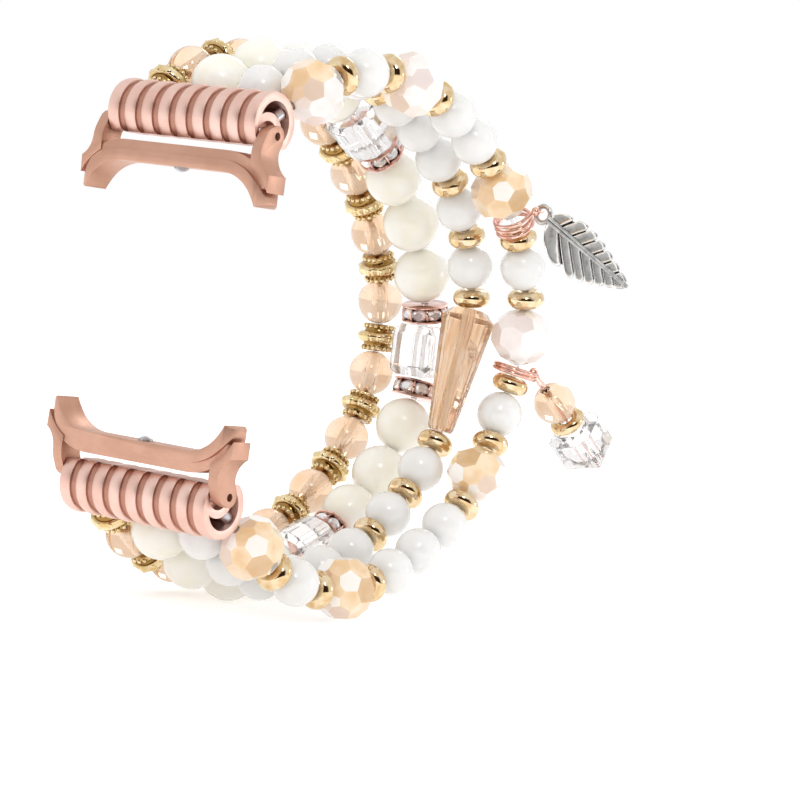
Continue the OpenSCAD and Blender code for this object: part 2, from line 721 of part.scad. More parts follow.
// Leaf charm on its wire winding
winding = of_kind(BEADS_D, "winding")[0];
winding_c = winding[1];
hook = winding_c + [hook_x, hook_y, hook_z];
ball_c = [hook.x, winding_c.y - leaf_ring_wire_r - ball_r - ball_gap, hook.z];
LOOP_RINGS = 24;
function from_bead(b, p) =
    let (d = b[2], t = acos(d.z), f = atan2(d.y, d.x))
    b[1] + p.x * [cos(t) * cos(f), cos(t) * sin(f), -sin(t)] + p.y * [-sin(f), cos(f), 0] + p.z * d;
winding_points = [
    let (n = LOOP_RINGS * winding_turns, half = winding_l / 2 - winding_wire_r)
    for (i = [0:n])
        let (a = 360 * winding_turns * (1 - i / n) - 90)
        from_bead(winding, [winding_r * cos(a), winding_r * sin(a), half * (1 - 2 * i / n)])
];
function bezier(p, t) =
    pow(1 - t, 3) * p[0] + 3 * pow(1 - t, 2) * t * p[1] + 3 * (1 - t) * t * t * p[2] + pow(t, 3) * p[3];
tail_start = winding_points[len(winding_points) - 1];
tail_lead = 2.8;
tail_swing = 1.1;
tail_points = [
    let (n = 9, lead = tail_lead * unit(tail_start - winding_points[len(winding_points) - 2]))
    for (i = [1:n]) bezier([tail_start, tail_start + lead, hook + [0, tail_swing, 0], hook], i / n)
];
// Least gap between two turns of the winding, over the wire
winding_gap = min([
    for (i = [0:len(winding_points) - 1], j = [i + LOOP_RINGS / 2:1:len(winding_points) - 1])
        norm(winding_points[i] - winding_points[j])
]) - 2 * winding_wire_r;
module leaf_winding() {
    color("#d9978b") {
        tube_along(concat(winding_points, tail_points, [ball_c]), winding_wire_r, 6, winding[2]);
        translate(ball_c) sphere(r = ball_r);
    }
}
function blade_width(t) = sin(180 * pow(0.1 + 0.9 * t, 0.8));
lobes_l = leaf_l - 1.1;
function blade_edge(w, side) = [
    for (i = [0:lobe_n - 1], p = [0:0.25:1])
        let (t = (i + p) / lobe_n, half = w * blade_width(t) * (1 - lobe_cut * (1 - sin(90 * p))))
        [lobes_l * t + lobe_lean * half, side * half]
];
function reversed(list) = [for (i = [len(list) - 1:-1:0]) list[i]];
module torus(middle_r, wire_r) {
    rotate_extrude() translate([middle_r, 0]) circle(r = wire_r);
}
module leaf_charm() {
    ring_shift = leaf_ring_r - leaf_ring_wire_r - winding_wire_r - fit;
    midrib_end = [0.95 * leaf_l, 0.1];
    color("#a9abaa") translate([hook.x, winding_c.y, hook.z]) rotate([0, leaf_angle, 0])
        translate([ring_shift, 0, 0]) rotate([90, 0, 0]) {
            torus(leaf_ring_r, leaf_ring_wire_r);
            translate([leaf_ring_r + leaf_ring_wire_r / 2, 0, 0]) {
                linear_extrude(leaf_t, center = true)
                    polygon(concat(blade_edge(leaf_up_w, 1), [[leaf_l, 0]],
                        reversed(blade_edge(leaf_down_w, -1))));
                linear_extrude(midrib_t, center = true)
                    polygon([[0, -midrib_w / 2], [midrib_end.x, -midrib_end.y], midrib_end,
                        [0, midrib_w / 2]]);
            }
        }
}

// Crystal charm on its ring
charm_ring_at = of_kind(BEADS_D, "ring")[0];
eye_out = ring_r + ring_wire_r + eye_r - eye_wire_r / 2;
eye_c = charm_ring_at[1] + eye_out * [cos(eye_turn), sin(eye_turn), 0];
module charm_ring() {
    color("#d9978b") {
        at_bead(charm_ring_at) for (s = [-1, 1]) translate([0, 0, s * ring_wire_step / 2])
            torus(ring_r, ring_wire_r);
        translate(eye_c) rotate([90, 0, eye_turn]) torus(eye_r, eye_wire_r);
    }
}
// Everything on the head pin hangs along -Z of this frame, from the eye
module hanging() {
    translate(eye_c) rotate([0, -hang_tilt, eye_turn]) children();
}
pin_hole_r = pin_wire_r + cord_play;
bead_top = eye_r + pin_loop_l + pin_loop_r + pin_wire_r + fit;
spacer_top = bead_top + charm_bead_d + fit;
cube_top = spacer_top + charm_spacer_l + fit;
head_top = cube_top + charm_cube_w + fit;
module half_loop(s) {
    intersection() {
        along_x() torus(pin_loop_r, pin_wire_r);
        translate([0, 0, s * far / 2]) cube(far, center = true);
    }
}
module charm_headpin() {
    shaft_top = eye_r + pin_loop_l + pin_loop_r;
    color("#d9978b") hanging() {
        translate([0, 0, -eye_r]) half_loop(1);
        translate([0, 0, -eye_r - pin_loop_l]) half_loop(-1);
        for (y = [-pin_loop_r, pin_loop_r]) translate([0, y, -eye_r - pin_loop_l])
            cylinder(r = pin_wire_r, h = pin_loop_l);
        translate([0, 0, -head_top - pin_head_l])
            cylinder(r = pin_wire_r, h = head_top + pin_head_l - shaft_top);
        translate([0, 0, -head_top - pin_head_l]) cylinder(r = pin_head_r, h = pin_head_l);
    }
}
module on_pin(top, length) {
    hanging() translate([0, 0, -top - length / 2]) difference() {
        children();
        cylinder(r = pin_hole_r, h = length + over, center = true);
    }
}
module charm_amber_bead() {
    color("#ecc3a0") on_pin(bead_top, charm_bead_d) sphere(d = charm_bead_d);
}
module charm_gold_spacer() {
    color("#e6cf9e") on_pin(spacer_top, charm_spacer_l) {
        rotate_extrude() intersection() {
            translate([gold_d / 2 - charm_spacer_l / 2, 0]) circle(d = charm_spacer_l);
            translate([0, -far]) square([far, 2 * far]);
        }
        cylinder(r = gold_d / 2 - charm_spacer_l / 2, h = charm_spacer_l, center = true);
    }
}
module charm_crystal_cube() {
    color("#eeeef2") on_pin(cube_top, charm_cube_w) rotate(charm_cube_turn)
        chamfered_cube(charm_cube_w, charm_cube_w);
}

// Adapters, barrels, bars and cords
lug_adapter(false);  // lug_adapter_upper
lug_adapter(true);  // lug_adapter_lower
catch_plunger(false);  // catch_plunger_upper
catch_plunger(true);  // catch_plunger_lower
catch_spring(false);  // catch_spring_upper
catch_spring(true);  // catch_spring_lower
ribbed_barrel(false);  // ribbed_barrel_upper
ribbed_barrel(true);  // ribbed_barrel_lower
spring_bar_tube(false);  // spring_bar_tube_upper
spring_bar_tube(true);  // spring_bar_tube_lower
spring_bar_spring(false);  // spring_bar_spring_upper
spring_bar_spring(true);  // spring_bar_spring_lower
spring_bar_tip(false, -1);  // tip_upper_left
spring_bar_tip(false, 1);  // tip_upper_right
spring_bar_tip(true, -1);  // tip_lower_left
spring_bar_tip(true, 1);  // tip_lower_right
crimps(false);  // crimps_upper
crimps(true);  // crimps_lower
elastic_cord(STRAND_A, JOINTS_A, PLACES[0]);  // elastic_cord_a
elastic_cord(STRAND_B, JOINTS_B, PLACES[1]);  // elastic_cord_b
elastic_cord(STRAND_C, JOINTS_C, PLACES[2]);  // elastic_cord_c
elastic_cord(STRAND_D, JOINTS_D, PLACES[3]);  // elastic_cord_d

// Strand A
all_at(of_kind(BEADS_A, "amber"), "#ecc3a0") round_bead(amber_d);  // amber_beads
all_at(of_kind(BEADS_A, "daisy"), "#e0b9a2") daisy_spacer();  // daisy_spacers

// Strand B
all_at(of_kind(BEADS_B, "cream"), "#f2eedc") round_bead(cream_d);  // cream_beads
crystal_prism(of_kind(BEADS_B, "prism")[0]);  // crystal_prism_upper
crystal_prism(of_kind(BEADS_B, "prism")[1]);  // crystal_prism_lower
all_at(of_kind(BEADS_B, "cube"), "#efe3e0") bored(cube_l) chamfered_cube(cube_w, cube_l);  // crystal_cube
for (i = [1:4]) {
    ring_at = of_kind(BEADS_B, "stone_ring")[i - 1];
    rhinestone_ring(ring_at);
    ring_stones(ring_at);
}

// Strand C
all_at(of_kind(BEADS_C, "milky"), "#e8e8e6") round_bead(milky_d);  // milky_beads_c
all_at(of_kind(BEADS_C, "gold"), "#e6cf9e") gold_spacer(gold_d, gold_l);  // gold_spacers_c
all_at(of_kind(BEADS_C, "cone"), "#dcc7b4") long_cone();  // champagne_cone

// Strand D
all_at(of_kind(BEADS_D, "milky"), "#e8e8e6") round_bead(milky_d);  // milky_beads_d
all_at(of_kind(BEADS_D, "gold"), "#e6cf9e") gold_spacer(gold_d, gold_l);  // gold_spacers_d
for (i = [1:7])
    all_at([of_kind(BEADS_D, "faceted")[i - 1]], "#e2c7b0") faceted_bead();

// Charms
leaf_winding();
leaf_charm();
charm_ring();
charm_headpin();
charm_amber_bead();
charm_gold_spacer();
charm_crystal_cube();

// Middles and directions of the pieces that turn, and the winding's least gap to itself
echo(winding_gap = winding_gap);
echo(pin = [pin_y, pin_z], eye = eye_c, hook = [hook.x, winding_c.y, hook.z]);
TURNING = ["stone_ring", "cube", "prism", "cone", "faceted", "winding", "ring"];
for (b = concat(BEADS_B, BEADS_C, BEADS_D), name = TURNING)
    if (b[0] == name) echo(kind = b[0], middle = b[1], along = b[2]);
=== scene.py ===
import json
import random
from math import acos, atan2, cos, degrees, hypot, pi, radians, sin, sqrt

import bmesh
import bpy
import numpy as np
from mathutils import Matrix, Vector


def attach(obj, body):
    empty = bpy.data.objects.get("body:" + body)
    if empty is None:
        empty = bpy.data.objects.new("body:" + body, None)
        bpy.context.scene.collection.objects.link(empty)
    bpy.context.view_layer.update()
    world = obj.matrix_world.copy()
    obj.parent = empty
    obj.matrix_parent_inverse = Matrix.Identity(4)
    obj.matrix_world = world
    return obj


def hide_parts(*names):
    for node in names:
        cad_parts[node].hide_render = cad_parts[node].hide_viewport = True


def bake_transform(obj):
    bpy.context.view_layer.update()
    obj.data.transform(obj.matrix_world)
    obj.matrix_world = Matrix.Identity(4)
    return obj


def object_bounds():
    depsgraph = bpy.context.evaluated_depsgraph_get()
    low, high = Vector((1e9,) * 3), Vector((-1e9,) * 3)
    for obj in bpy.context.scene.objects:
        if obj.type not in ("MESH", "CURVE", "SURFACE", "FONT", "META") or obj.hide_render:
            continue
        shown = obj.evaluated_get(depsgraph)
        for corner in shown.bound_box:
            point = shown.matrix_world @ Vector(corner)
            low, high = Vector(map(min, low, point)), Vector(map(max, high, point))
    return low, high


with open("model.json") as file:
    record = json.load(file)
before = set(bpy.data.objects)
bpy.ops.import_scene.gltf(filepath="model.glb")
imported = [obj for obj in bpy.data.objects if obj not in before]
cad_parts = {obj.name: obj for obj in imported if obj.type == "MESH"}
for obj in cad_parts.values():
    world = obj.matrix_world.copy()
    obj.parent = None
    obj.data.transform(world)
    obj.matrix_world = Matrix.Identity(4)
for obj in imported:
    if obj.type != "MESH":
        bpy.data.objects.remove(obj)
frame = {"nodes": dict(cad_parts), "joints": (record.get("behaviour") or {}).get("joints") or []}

CAD_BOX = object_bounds()
MM = 0.001
NODES = frame["nodes"]
JOINTS = {joint["child"]: joint for joint in frame["joints"]}
ENDS = ((1, "upper"), (-1, "lower"))

# Sizes that repeat the CAD's, in millimetres
BORE_R = 0.5
CORD_R = 0.4
GOLD_D, GOLD_L = 5.0, 2.35
DAISY_L, DAISY_RIM_D, DAISY_COLLAR_D = 3.7, 5.8, 4.4
FACETED_L, FACETED_D = 7.6, 7.9
CONE_L = 16.9
CUBE_W, CUBE_CUT = 7.0, 0.83
PRISM_L, PRISM_D = 7.1, 8.0
STONE_RING_L, STONE_RING_D, STONE_CORE_D = 2.3, 6.4, 4.4
CHARM_BEAD_D, CHARM_SPACER_L, CHARM_CUBE_W = 5.7, 1.6, 6.6
BARREL_Y, BARREL_Z, BARREL_R, BARREL_HALF = 9.5, 23.0, 3.9, 11.45


# Helpers

def clamp(x):
    return min(1, max(0, x))


def linear(colour):
    """An sRGB hex colour as linear red, green, blue and alpha."""
    parts = [int(colour[i:i + 2], 16) / 255 for i in (1, 3, 5)]
    return [p / 12.92 if p <= 0.04045 else ((p + 0.055) / 1.055) ** 2.4 for p in parts] + [1]


def put(tree, kind, sockets=None, **settings):
    """Adds a node with its settings. A socket gets a value, or the output that it's linked to."""
    node = tree.nodes.new(kind)
    for name, value in settings.items():
        setattr(node, name, value)
    for key, value in (sockets or {}).items():
        if isinstance(value, bpy.types.NodeSocket):
            tree.links.new(value, node.inputs[key])
        else:
            node.inputs[key].default_value = value
    return node


def feed(tree, kind, sockets=None, **settings):
    """Adds a node and gives its first output."""
    return put(tree, kind, sockets, **settings).outputs[0]


def reckon(tree, operation, *values):
    """A sum on numbers or outputs."""
    return feed(tree, "ShaderNodeMath", dict(enumerate(values)), operation=operation)


def finish(name, sockets):
    """A material with one main shader. Gives it, its tree and the place on the piece."""
    made = bpy.data.materials.new(name)
    made.use_nodes = True
    tree = made.node_tree
    tree.nodes.clear()
    shader = feed(tree, "ShaderNodeBsdfPrincipled", sockets)
    put(tree, "ShaderNodeOutputMaterial", {"Surface": shader})
    return made, tree, put(tree, "ShaderNodeTexCoord").outputs["Object"]


def led(made, colour, rough=None, bump=None):
    """The material, its shader led by patterns of colour, roughness and bump."""
    tree = made.node_tree
    shader = tree.nodes["Principled BSDF"]
    for key, pattern in (("Base Color", colour), ("Roughness", rough), ("Normal", bump)):
        if pattern is not None:
            tree.links.new(pattern, shader.inputs[key])
    return made


def grain(tree, place, size, stretch=(1, 1, 1), detail=2):
    """Soft blotches about size millimetres across, drawn out by stretch."""
    scale = [1 / (size * MM * s) for s in stretch]
    spot = feed(tree, "ShaderNodeMapping", {"Vector": place, "Scale": scale})
    return feed(tree, "ShaderNodeTexNoise", {"Vector": spot, "Scale": 1.0, "Detail": detail})


def spread(tree, value, low, high, start=0.35, end=0.65):
    """A pattern's value from start to end, turned into low to high."""
    return feed(tree, "ShaderNodeMapRange", {
        "Value": value, "From Min": start, "From Max": end, "To Min": low, "To Max": high
    })


def between(tree, share, first, second):
    """A colour between two hex colours or outputs."""
    ends = {6: first, 7: second}
    sockets = {k: linear(c) if isinstance(c, str) else c for k, c in ends.items()}
    return put(tree, "ShaderNodeMix", {0: share, **sockets}, data_type="RGBA").outputs[2]


def clouded(tree, pattern, first, second):
    """Two colours in the blotches of a pattern."""
    return between(tree, spread(tree, pattern, 0, 1), first, second)


def dents(tree, height, depth, strength):
    """Bump from a height pattern, depth in millimetres."""
    return feed(tree, "ShaderNodeBump", {
        "Height": height, "Distance": depth * MM, "Strength": strength
    })


def mark(tree, name):
    """A number that the piece's mesh carries at each point or face."""
    return put(tree, "ShaderNodeAttribute", attribute_name=name).outputs["Fac"]


def along_bead(tree, size, length):
    """Fine streaks along a bead's own bore, from the places that its mesh carries."""
    own = put(tree, "ShaderNodeAttribute", attribute_name="own").outputs["Vector"]
    return grain(tree, own, size, stretch=(1, 1, length))


# Finishes

def satin_rose_gold(name, light, dark):
    # Rose-gold plating on a cast and satin-polished alloy: a soft wide sheen, hairlines along the
    # ribs from the polishing wheel, and painted shade: a browner tone in the grooves and the hollow
    made, tree, place = finish(name, {"Metallic": 1.0, "Roughness": 0.4})
    hairs = grain(tree, place, 0.16, stretch=(14, 1, 1), detail=4)
    tone = clouded(tree, grain(tree, place, 3.5), dark, light)
    # Painted shade: where a point is marked as recessed, the tone turns towards this brown
    tone = between(tree, mark(tree, "recess"), tone, "#B98A79")
    return led(made, tone, spread(tree, hairs, 0.38, 0.5), dents(tree, hairs, 0.003, 0.4))


def bright_rose_wire():
    # Bright rose-gold plated wire: mirror highlights and a pink body, with faint drawing marks
    made, tree, place = finish("rose_gold_plated_wire", {"Metallic": 1.0, "Roughness": 0.12})
    cloud = grain(tree, place, 1.2)
    return led(made, clouded(tree, cloud, "#DDA898", "#EEC8BA"), spread(tree, cloud, 0.08, 0.18))


def pale_gold_plating(name, light, dark, shade_colour, rough):
    # Pale gold plating on small brass castings: sharp dark and white streaks, slightly uneven, and
    # painted shade that darkens the casting's hollows
    made, tree, place = finish(name, {"Metallic": 1.0, "Roughness": rough})
    cloud = grain(tree, place, 1.1)
    ripple = grain(tree, place, 0.7, detail=1)
    # Painted shade: marked hollows turn towards the shade colour
    tone = between(tree, mark(tree, "recess"), clouded(tree, cloud, light, dark), shade_colour)
    return led(made, tone, spread(tree, cloud, rough * 0.7, rough * 1.5),
               dents(tree, ripple, 0.03, 0.3))


def turned_steel(name, colour, rough):
    # Turned steel: fine rings from the lathe, over a cool grey or a browned skin
    made, tree, place = finish(name, {"Metallic": 1.0, "Roughness": rough})
    rings = grain(tree, place, 0.12, stretch=(1, 8, 8), detail=3)
    tone = between(tree, spread(tree, rings, 0, 0.3), colour, "#D6D6D8")
    return led(made, tone, bump=dents(tree, rings, 0.004, 0.4))


def antique_silver():
    # Oxidised pewter, brushed back: bright rubbed ridges, mottled grey panels and black recesses
    made, tree, place = finish("oxidised_pewter", {"Metallic": 1.0, "Roughness": 0.4})
    mottle = grain(tree, place, 0.8, detail=4)
    worn = reckon(tree, "ADD", mark(tree, "relief"), spread(tree, mottle, -0.1, 0.1))
    low = between(tree, spread(tree, worn, 0, 1, 0.0, 0.4), "#2E2C2A", "#A9ABAA")
    tone = between(tree, spread(tree, worn, 0, 1, 0.55, 0.95), low, "#EDEEEC")
    return led(made, tone, spread(tree, worn, 0.55, 0.24, 0.1, 0.9), dents(tree, mottle, 0.04, 0.5))


def stretch_cord():
    # Clear elastic cord: light passes through it, a little blurred, so it hardly shows in the beads
    made, tree, place = finish("clear_elastic_cord", {
        "Roughness": 0.2, "Transmission Weight": 0.9, "IOR": 1.3
    })
    threads = grain(tree, place, 0.25)
    return led(made, between(tree, threads, "#FBF9F5", "#FFFFFF"),
               bump=dents(tree, threads, 0.02, 0.4))


def clear_acrylic(name, light, deep, rim, clear, rough=0.02, index=1.49, streaked=False):
    # Clear tinted acrylic, injection moulded and tumbled: light passes through, painted shade
    # darkens the rim, flow lines blur what is behind, and the drilled wall has no skin of dye
    made, tree, place = finish(name, {
        "Roughness": rough, "IOR": index, "Transmission Weight": clear, "Specular IOR Level": 0.6
    })
    flow = along_bead(tree, 0.5, 16) if streaked else grain(tree, place, 2.2, stretch=(1, 1, 2))
    # Painted shade: towards the rim, where the surface turns away from view, the tone goes to a
    # dark brown
    edge = put(tree, "ShaderNodeLayerWeight", {"Blend": 0.22}).outputs["Facing"]
    tone = clouded(tree, flow, light, deep)
    tone = between(tree, spread(tree, edge, 0, 1, 0.45, 0.95), tone, rim)
    tone = between(tree, mark(tree, "wall"), tone, "#FFFDFA")
    return led(made, tone, bump=dents(tree, flow, 0.05, 0.25))


def milky_stone(name, light, shade, glow, rough, coat, clear):
    # Polished resin with a milky body: light sinks in and comes out soft, a little of it passes
    # right through, and small quiet highlights lie on a glassy skin over faint clouding
    made, tree, place = finish(name, {
        "Roughness": rough, "IOR": 1.5, "Subsurface Weight": glow, "Subsurface Scale": 1.0,
        "Subsurface Radius": (3.2 * MM, 3.1 * MM, 3.0 * MM), "Coat Weight": coat,
        "Coat Roughness": 0.12, "Specular IOR Level": 0.35, "Transmission Weight": clear
    })
    return led(made, clouded(tree, grain(tree, place, 2.6), light, shade),
               bump=dents(tree, grain(tree, place, 0.9), 0.02, 0.2))


def opal_glass():
    # Pressed opal glass with a champagne lustre fired on one side: pinkish white milk where it is
    # bare, a warm tint where it is coated, and crisp flat facets, some with a painted darker
    # reflection and some with a painted near-white highlight
    made, tree, place = finish("half_coated_opal_glass", {
        "Roughness": 0.06, "IOR": 1.52, "Subsurface Weight": 0.3, "Subsurface Scale": 1.0,
        "Subsurface Radius": (1.6 * MM, 1.4 * MM, 1.2 * MM), "Coat Weight": 1.0,
        "Coat Roughness": 0.02
    })
    lustre = mark(tree, "lustre")
    facet = mark(tree, "facet")
    cloud = grain(tree, place, 2.4)
    opal = clouded(tree, cloud, "#FBF4F1", "#F4E9E5")
    coated = clouded(tree, cloud, "#F5DDBC", "#E9C595")
    tone = between(tree, lustre, opal, coated)
    deep = between(tree, lustre, "#E1D0CC", "#C79C68")
    # Painted reflections: facets with a low share are darkened
    tone = between(tree, spread(tree, facet, 0.75, 0, 0.0, 0.5), tone, deep)
    # Painted highlight: facets with the top share are turned nearly white
    return led(made, between(tree, spread(tree, facet, 0, 0.9, 0.8, 1.0), tone, "#FFFBF6"))


def cut_crystal(name, light, deep):
    # Machine-cut clear crystal glass: sharp facets bend what is behind into bright and grey bars
    made, tree, place = finish(name, {
        "Roughness": 0.0, "IOR": 1.54, "Transmission Weight": 0.92, "Specular IOR Level": 0.7
    })
    return led(made, clouded(tree, grain(tree, place, 3.0), light, deep),
               bump=dents(tree, along_bead(tree, 0.45, 20), 0.05, 0.6))


def foiled_rhinestone():
    # Rhinestone with a silver foil behind it: each facet mirrors the room, and its share also
    # paints a reflection on it, from grey to white
    made, tree, _ = finish("foil_backed_rhinestone", {
        "Metallic": 0.55, "Roughness": 0.05, "Coat Weight": 1.0, "Coat Roughness": 0.0
    })
    # Painted reflection: each facet's share turns it from grey to white
    return led(made, between(tree, mark(tree, "facet"), "#AEACB2", "#FFFFFF"))


ROSE_BARREL = satin_rose_gold("rose_gold_satin_plating", "#EBCBBF", "#E3BDAF")
# The adapters' rose gold is a darker copy of the barrels': painted shade for the darker things that
# they reflect
ROSE_ADAPTER_SHADED = satin_rose_gold("rose_gold_cast_adapter", "#CCA08B", "#C49883")
ROSE_WIRE = bright_rose_wire()
# The third colour of each of these finishes is the painted shade of its marked hollows
GOLD_RINGS = pale_gold_plating("champagne_gold_plating", "#E8D4B2", "#D6B685", "#8A6A38",
                               rough=0.07)
GOLD_GRAINS = pale_gold_plating("warm_gold_plated_casting", "#F2E0B8", "#DDBF86", "#9C7842",
                                rough=0.12)
ROSE_RIMS = pale_gold_plating("rose_gold_plated_setting", "#E9C6B9", "#D3A193", "#6E3F38",
                              rough=0.14)
STEEL = turned_steel("turned_stainless_steel", "#B4B4B8", rough=0.28)
BROWN_STEEL = turned_steel("browned_steel_tips", "#5C3524", rough=0.35)
SPRING_STEEL = turned_steel("drawn_spring_steel", "#8E8E92", rough=0.35)
PEWTER = antique_silver()
CORD = stretch_cord()
# The third colour of each of these is the painted dark shade at the rim
AMBER = clear_acrylic("peach_tinted_acrylic", "#F6DDC7", "#EEC8A4", "#5E341E", clear=0.9)
CHAMPAGNE = clear_acrylic("champagne_cut_acrylic", "#FFE8CE", "#F3C294", "#B98458",
                          clear=0.8, rough=0.0, index=1.5, streaked=True)
CREAM = milky_stone("cream_pearl_resin", "#FFFBF0", "#FCF5E4", glow=0.5, rough=0.26, coat=0.6,
                    clear=0.04)
MILKY = milky_stone("milky_white_resin", "#F6F5F2", "#F0EFED", glow=0.7, rough=0.2, coat=0.6,
                    clear=0.12)
OPAL = opal_glass()
CRYSTAL = cut_crystal("clear_cut_crystal", "#FCFBFB", "#F4F1F1")
RHINESTONE = foiled_rhinestone()


# Places

def joint_seat(body):
    """The place of a piece that turns: its own Z along the joint's axis, as the CAD turns it."""
    along = Vector(JOINTS[body]["axis"]).normalized()
    aside = Matrix.Rotation(atan2(along.y, along.x), 4, "Z")
    middle = Matrix.Translation(JOINTS[body]["pos_m"])
    return middle @ aside @ Matrix.Rotation(acos(along.z), 4, "Y")


def turn(axis, angle):
    """A turn about an axis, in degrees."""
    return Matrix.Rotation(radians(angle), 4, axis)


def shift(*place):
    """A move, in millimetres."""
    return Matrix.Translation(Vector(place) * MM)


def around(radius, angle, height=0.0):
    """A point at an angle round Z."""
    return radius * cos(angle), radius * sin(angle), height


def circle(radius, height, steps):
    return [around(radius, a, height) for a in np.linspace(0, 2 * pi, steps, endpoint=False)]


# Meshes

def poured(shape):
    """A mesh from a shape that is done with."""
    mesh = bpy.data.meshes.new("shape")
    shape.to_mesh(mesh)
    shape.free()
    return mesh


def tidied(mesh, smooth=True, sharp_above=None):
    """Merges doubles, turns the faces outwards and sets how it is shaded."""
    shape = bmesh.new()
    shape.from_mesh(mesh)
    bmesh.ops.remove_doubles(shape, verts=shape.verts, dist=1e-4 * MM)
    bmesh.ops.recalc_face_normals(shape, faces=shape.faces)
    shape.to_mesh(mesh)
    shape.free()
    for face in mesh.polygons:
        face.use_smooth = smooth
    if sharp_above is not None:
        mesh.set_sharp_from_angle(angle=radians(sharp_above))
    return mesh


def mesh_of(points, faces, smooth=True, sharp_above=None):
    """A mesh from points in millimetres, its normals outwards."""
    mesh = bpy.data.meshes.new("shape")
    mesh.from_pydata([Vector(p) * MM for p in points], [], faces)
    return tidied(mesh, smooth, sharp_above)


def turned(outline, sides, sharp_above):
    """A closed outline of (radius, height), turned round Z."""
    count = len(outline)
    points = [around(r, 2 * pi * i / sides, h) for i in range(sides) for r, h in outline]
    faces = []
    for i in range(sides):
        here, over = i * count, (i + 1) % sides * count
        for j in range(count):
            up = (j + 1) % count
            faces.append((here + j, over + j, over + up, here + up))
    return mesh_of(points, faces, sharp_above=sharp_above)


def tube(points, radius, sides, closed=False):
    """A round wire along points, in millimetres. radius may be a list, one for each point."""
    points = [Vector(p) for p in points]
    count = len(points)
    radii = radius if isinstance(radius, list) else [radius] * count
    rings = []
    side = None
    for i, point in enumerate(points):
        before = points[i - 1] if closed or i > 0 else point
        after = points[(i + 1) % count] if closed or i < count - 1 else point
        along = (after - before).normalized()
        if side is None:
            side = along.orthogonal()
        side = (side - along * side.dot(along)).normalized()
        other = along.cross(side)
        angles = [2 * pi * j / sides for j in range(sides)]
        rings.append([
            point + radii[i] * (cos(a) * side + sin(a) * other) for a in angles
        ])
    faces = []
    for i in range(count if closed else count - 1):
        here, over = i * sides, (i + 1) % count * sides
        skew = 0
        if closed and over == 0:
            seam = rings[-1][0]
            skew = min(range(sides), key=lambda k: (rings[0][k] - seam).length)
        faces += [
            (here + j, here + (j + 1) % sides, over + (j + 1 + skew) % sides,
             over + (j + skew) % sides)
            for j in range(sides)
        ]
    if not closed:
        faces += [tuple(range(sides)), tuple((count - 1) * sides + j for j in range(sides))]
    return mesh_of([p for ring in rings for p in ring], faces, sharp_above=60)


def tapered(first, last, count):
    """A wire's radii from first to last."""
    return [first + (last - first) * k / (count - 1) for k in range(count)]


def ball(radius, segments, rings, squash=1.0):
    """A ball, drawn out along Z by squash."""
    shape = bmesh.new()
    bmesh.ops.create_uvsphere(shape, u_segments=segments, v_segments=rings, radius=radius * MM)
    mesh = poured(shape)
    mesh.transform(Matrix.Diagonal((1, 1, squash, 1)))
    return tidied(mesh)


def placed(mesh, place):
    """A copy of a mesh, moved to its place."""
    copy = mesh.copy()
    copy.transform(place)
    return copy


def joined(parts):
    """One mesh from several, each with its own place."""
    shape = bmesh.new()
    for mesh, place in parts:
        shape.from_mesh(placed(mesh, place))
    return poured(shape)


def cut_gem(planes, reach):
    """The solid inside planes of (normal, distance), in millimetres."""
    shape = bmesh.new()
    bmesh.ops.create_cube(shape, size=2 * reach * MM)
    for normal, distance in planes:
        normal = Vector(normal).normalized()
        cut = bmesh.ops.bisect_plane(
            shape, geom=shape.verts[:] + shape.edges[:] + shape.faces[:], dist=1e-7,
            plane_co=normal * distance * MM, plane_no=normal, clear_outer=True
        )
        edges = [e for e in cut["geom_cut"] if isinstance(e, bmesh.types.BMEdge)]
        if len(edges) > 2:
            bmesh.ops.contextual_create(shape, geom=edges)
    bmesh.ops.remove_doubles(shape, verts=shape.verts, dist=1e-3 * MM)
    return tidied(poured(shape), smooth=False)


def loose(mesh, name="shape"):
    """An object for a mesh, not yet on a body."""
    piece = bpy.data.objects.new(name, mesh)
    bpy.context.scene.collection.objects.link(piece)
    return piece


def settled(piece):
    """The piece's shape with its modifiers applied, as a plain mesh."""
    bpy.context.view_layer.update()
    shown = piece.evaluated_get(bpy.context.evaluated_depsgraph_get())
    made = bpy.data.meshes.new_from_object(shown)
    bpy.data.objects.remove(piece)
    return made


def bevel(piece, width, segments, angle):
    """Rounds the edges that turn by more than angle, width in millimetres."""
    soft = piece.modifiers.new("edge", "BEVEL")
    soft.width, soft.segments, soft.limit_method = width * MM, segments, "ANGLE"
    soft.angle_limit = radians(angle)


def drilled(mesh, radius, length, edge=0.0):
    """A hole along Z through a mesh, and its edges rounded."""
    rod = bmesh.new()
    bmesh.ops.create_cone(rod, cap_ends=True, segments=24, radius1=radius * MM,
                          radius2=radius * MM, depth=length * MM)
    drill = loose(poured(rod))
    piece = loose(mesh)
    cut = piece.modifiers.new("bore", "BOOLEAN")
    cut.object, cut.operation, cut.solver = drill, "DIFFERENCE", "EXACT"
    if edge:
        bevel(piece, edge, segments=1, angle=20)
    made = settled(piece)
    bpy.data.objects.remove(drill)
    return made


def numbered(mesh, name, value_at):
    """The mesh with a number at each point, found from the point's place in millimetres."""
    marks = mesh.attributes.new(name, "FLOAT", "POINT")
    for vert, row in zip(mesh.vertices, marks.data):
        row.value = value_at(*(c / MM for c in vert.co))
    return mesh


def walled(mesh, radius):
    """The mesh with its bore's wall marked."""
    margin = 1.06
    return numbered(mesh, "wall", lambda x, y, z: float(hypot(x, y) < margin * radius))


def hollowed(mesh, outer_at, depth):
    """The mesh marked with how deep each point lies under the outer radius at its height, for
    painted shade.
    """
    return numbered(mesh, "recess",
                    lambda x, y, z: clamp((outer_at(abs(z)) - hypot(x, y)) / depth))


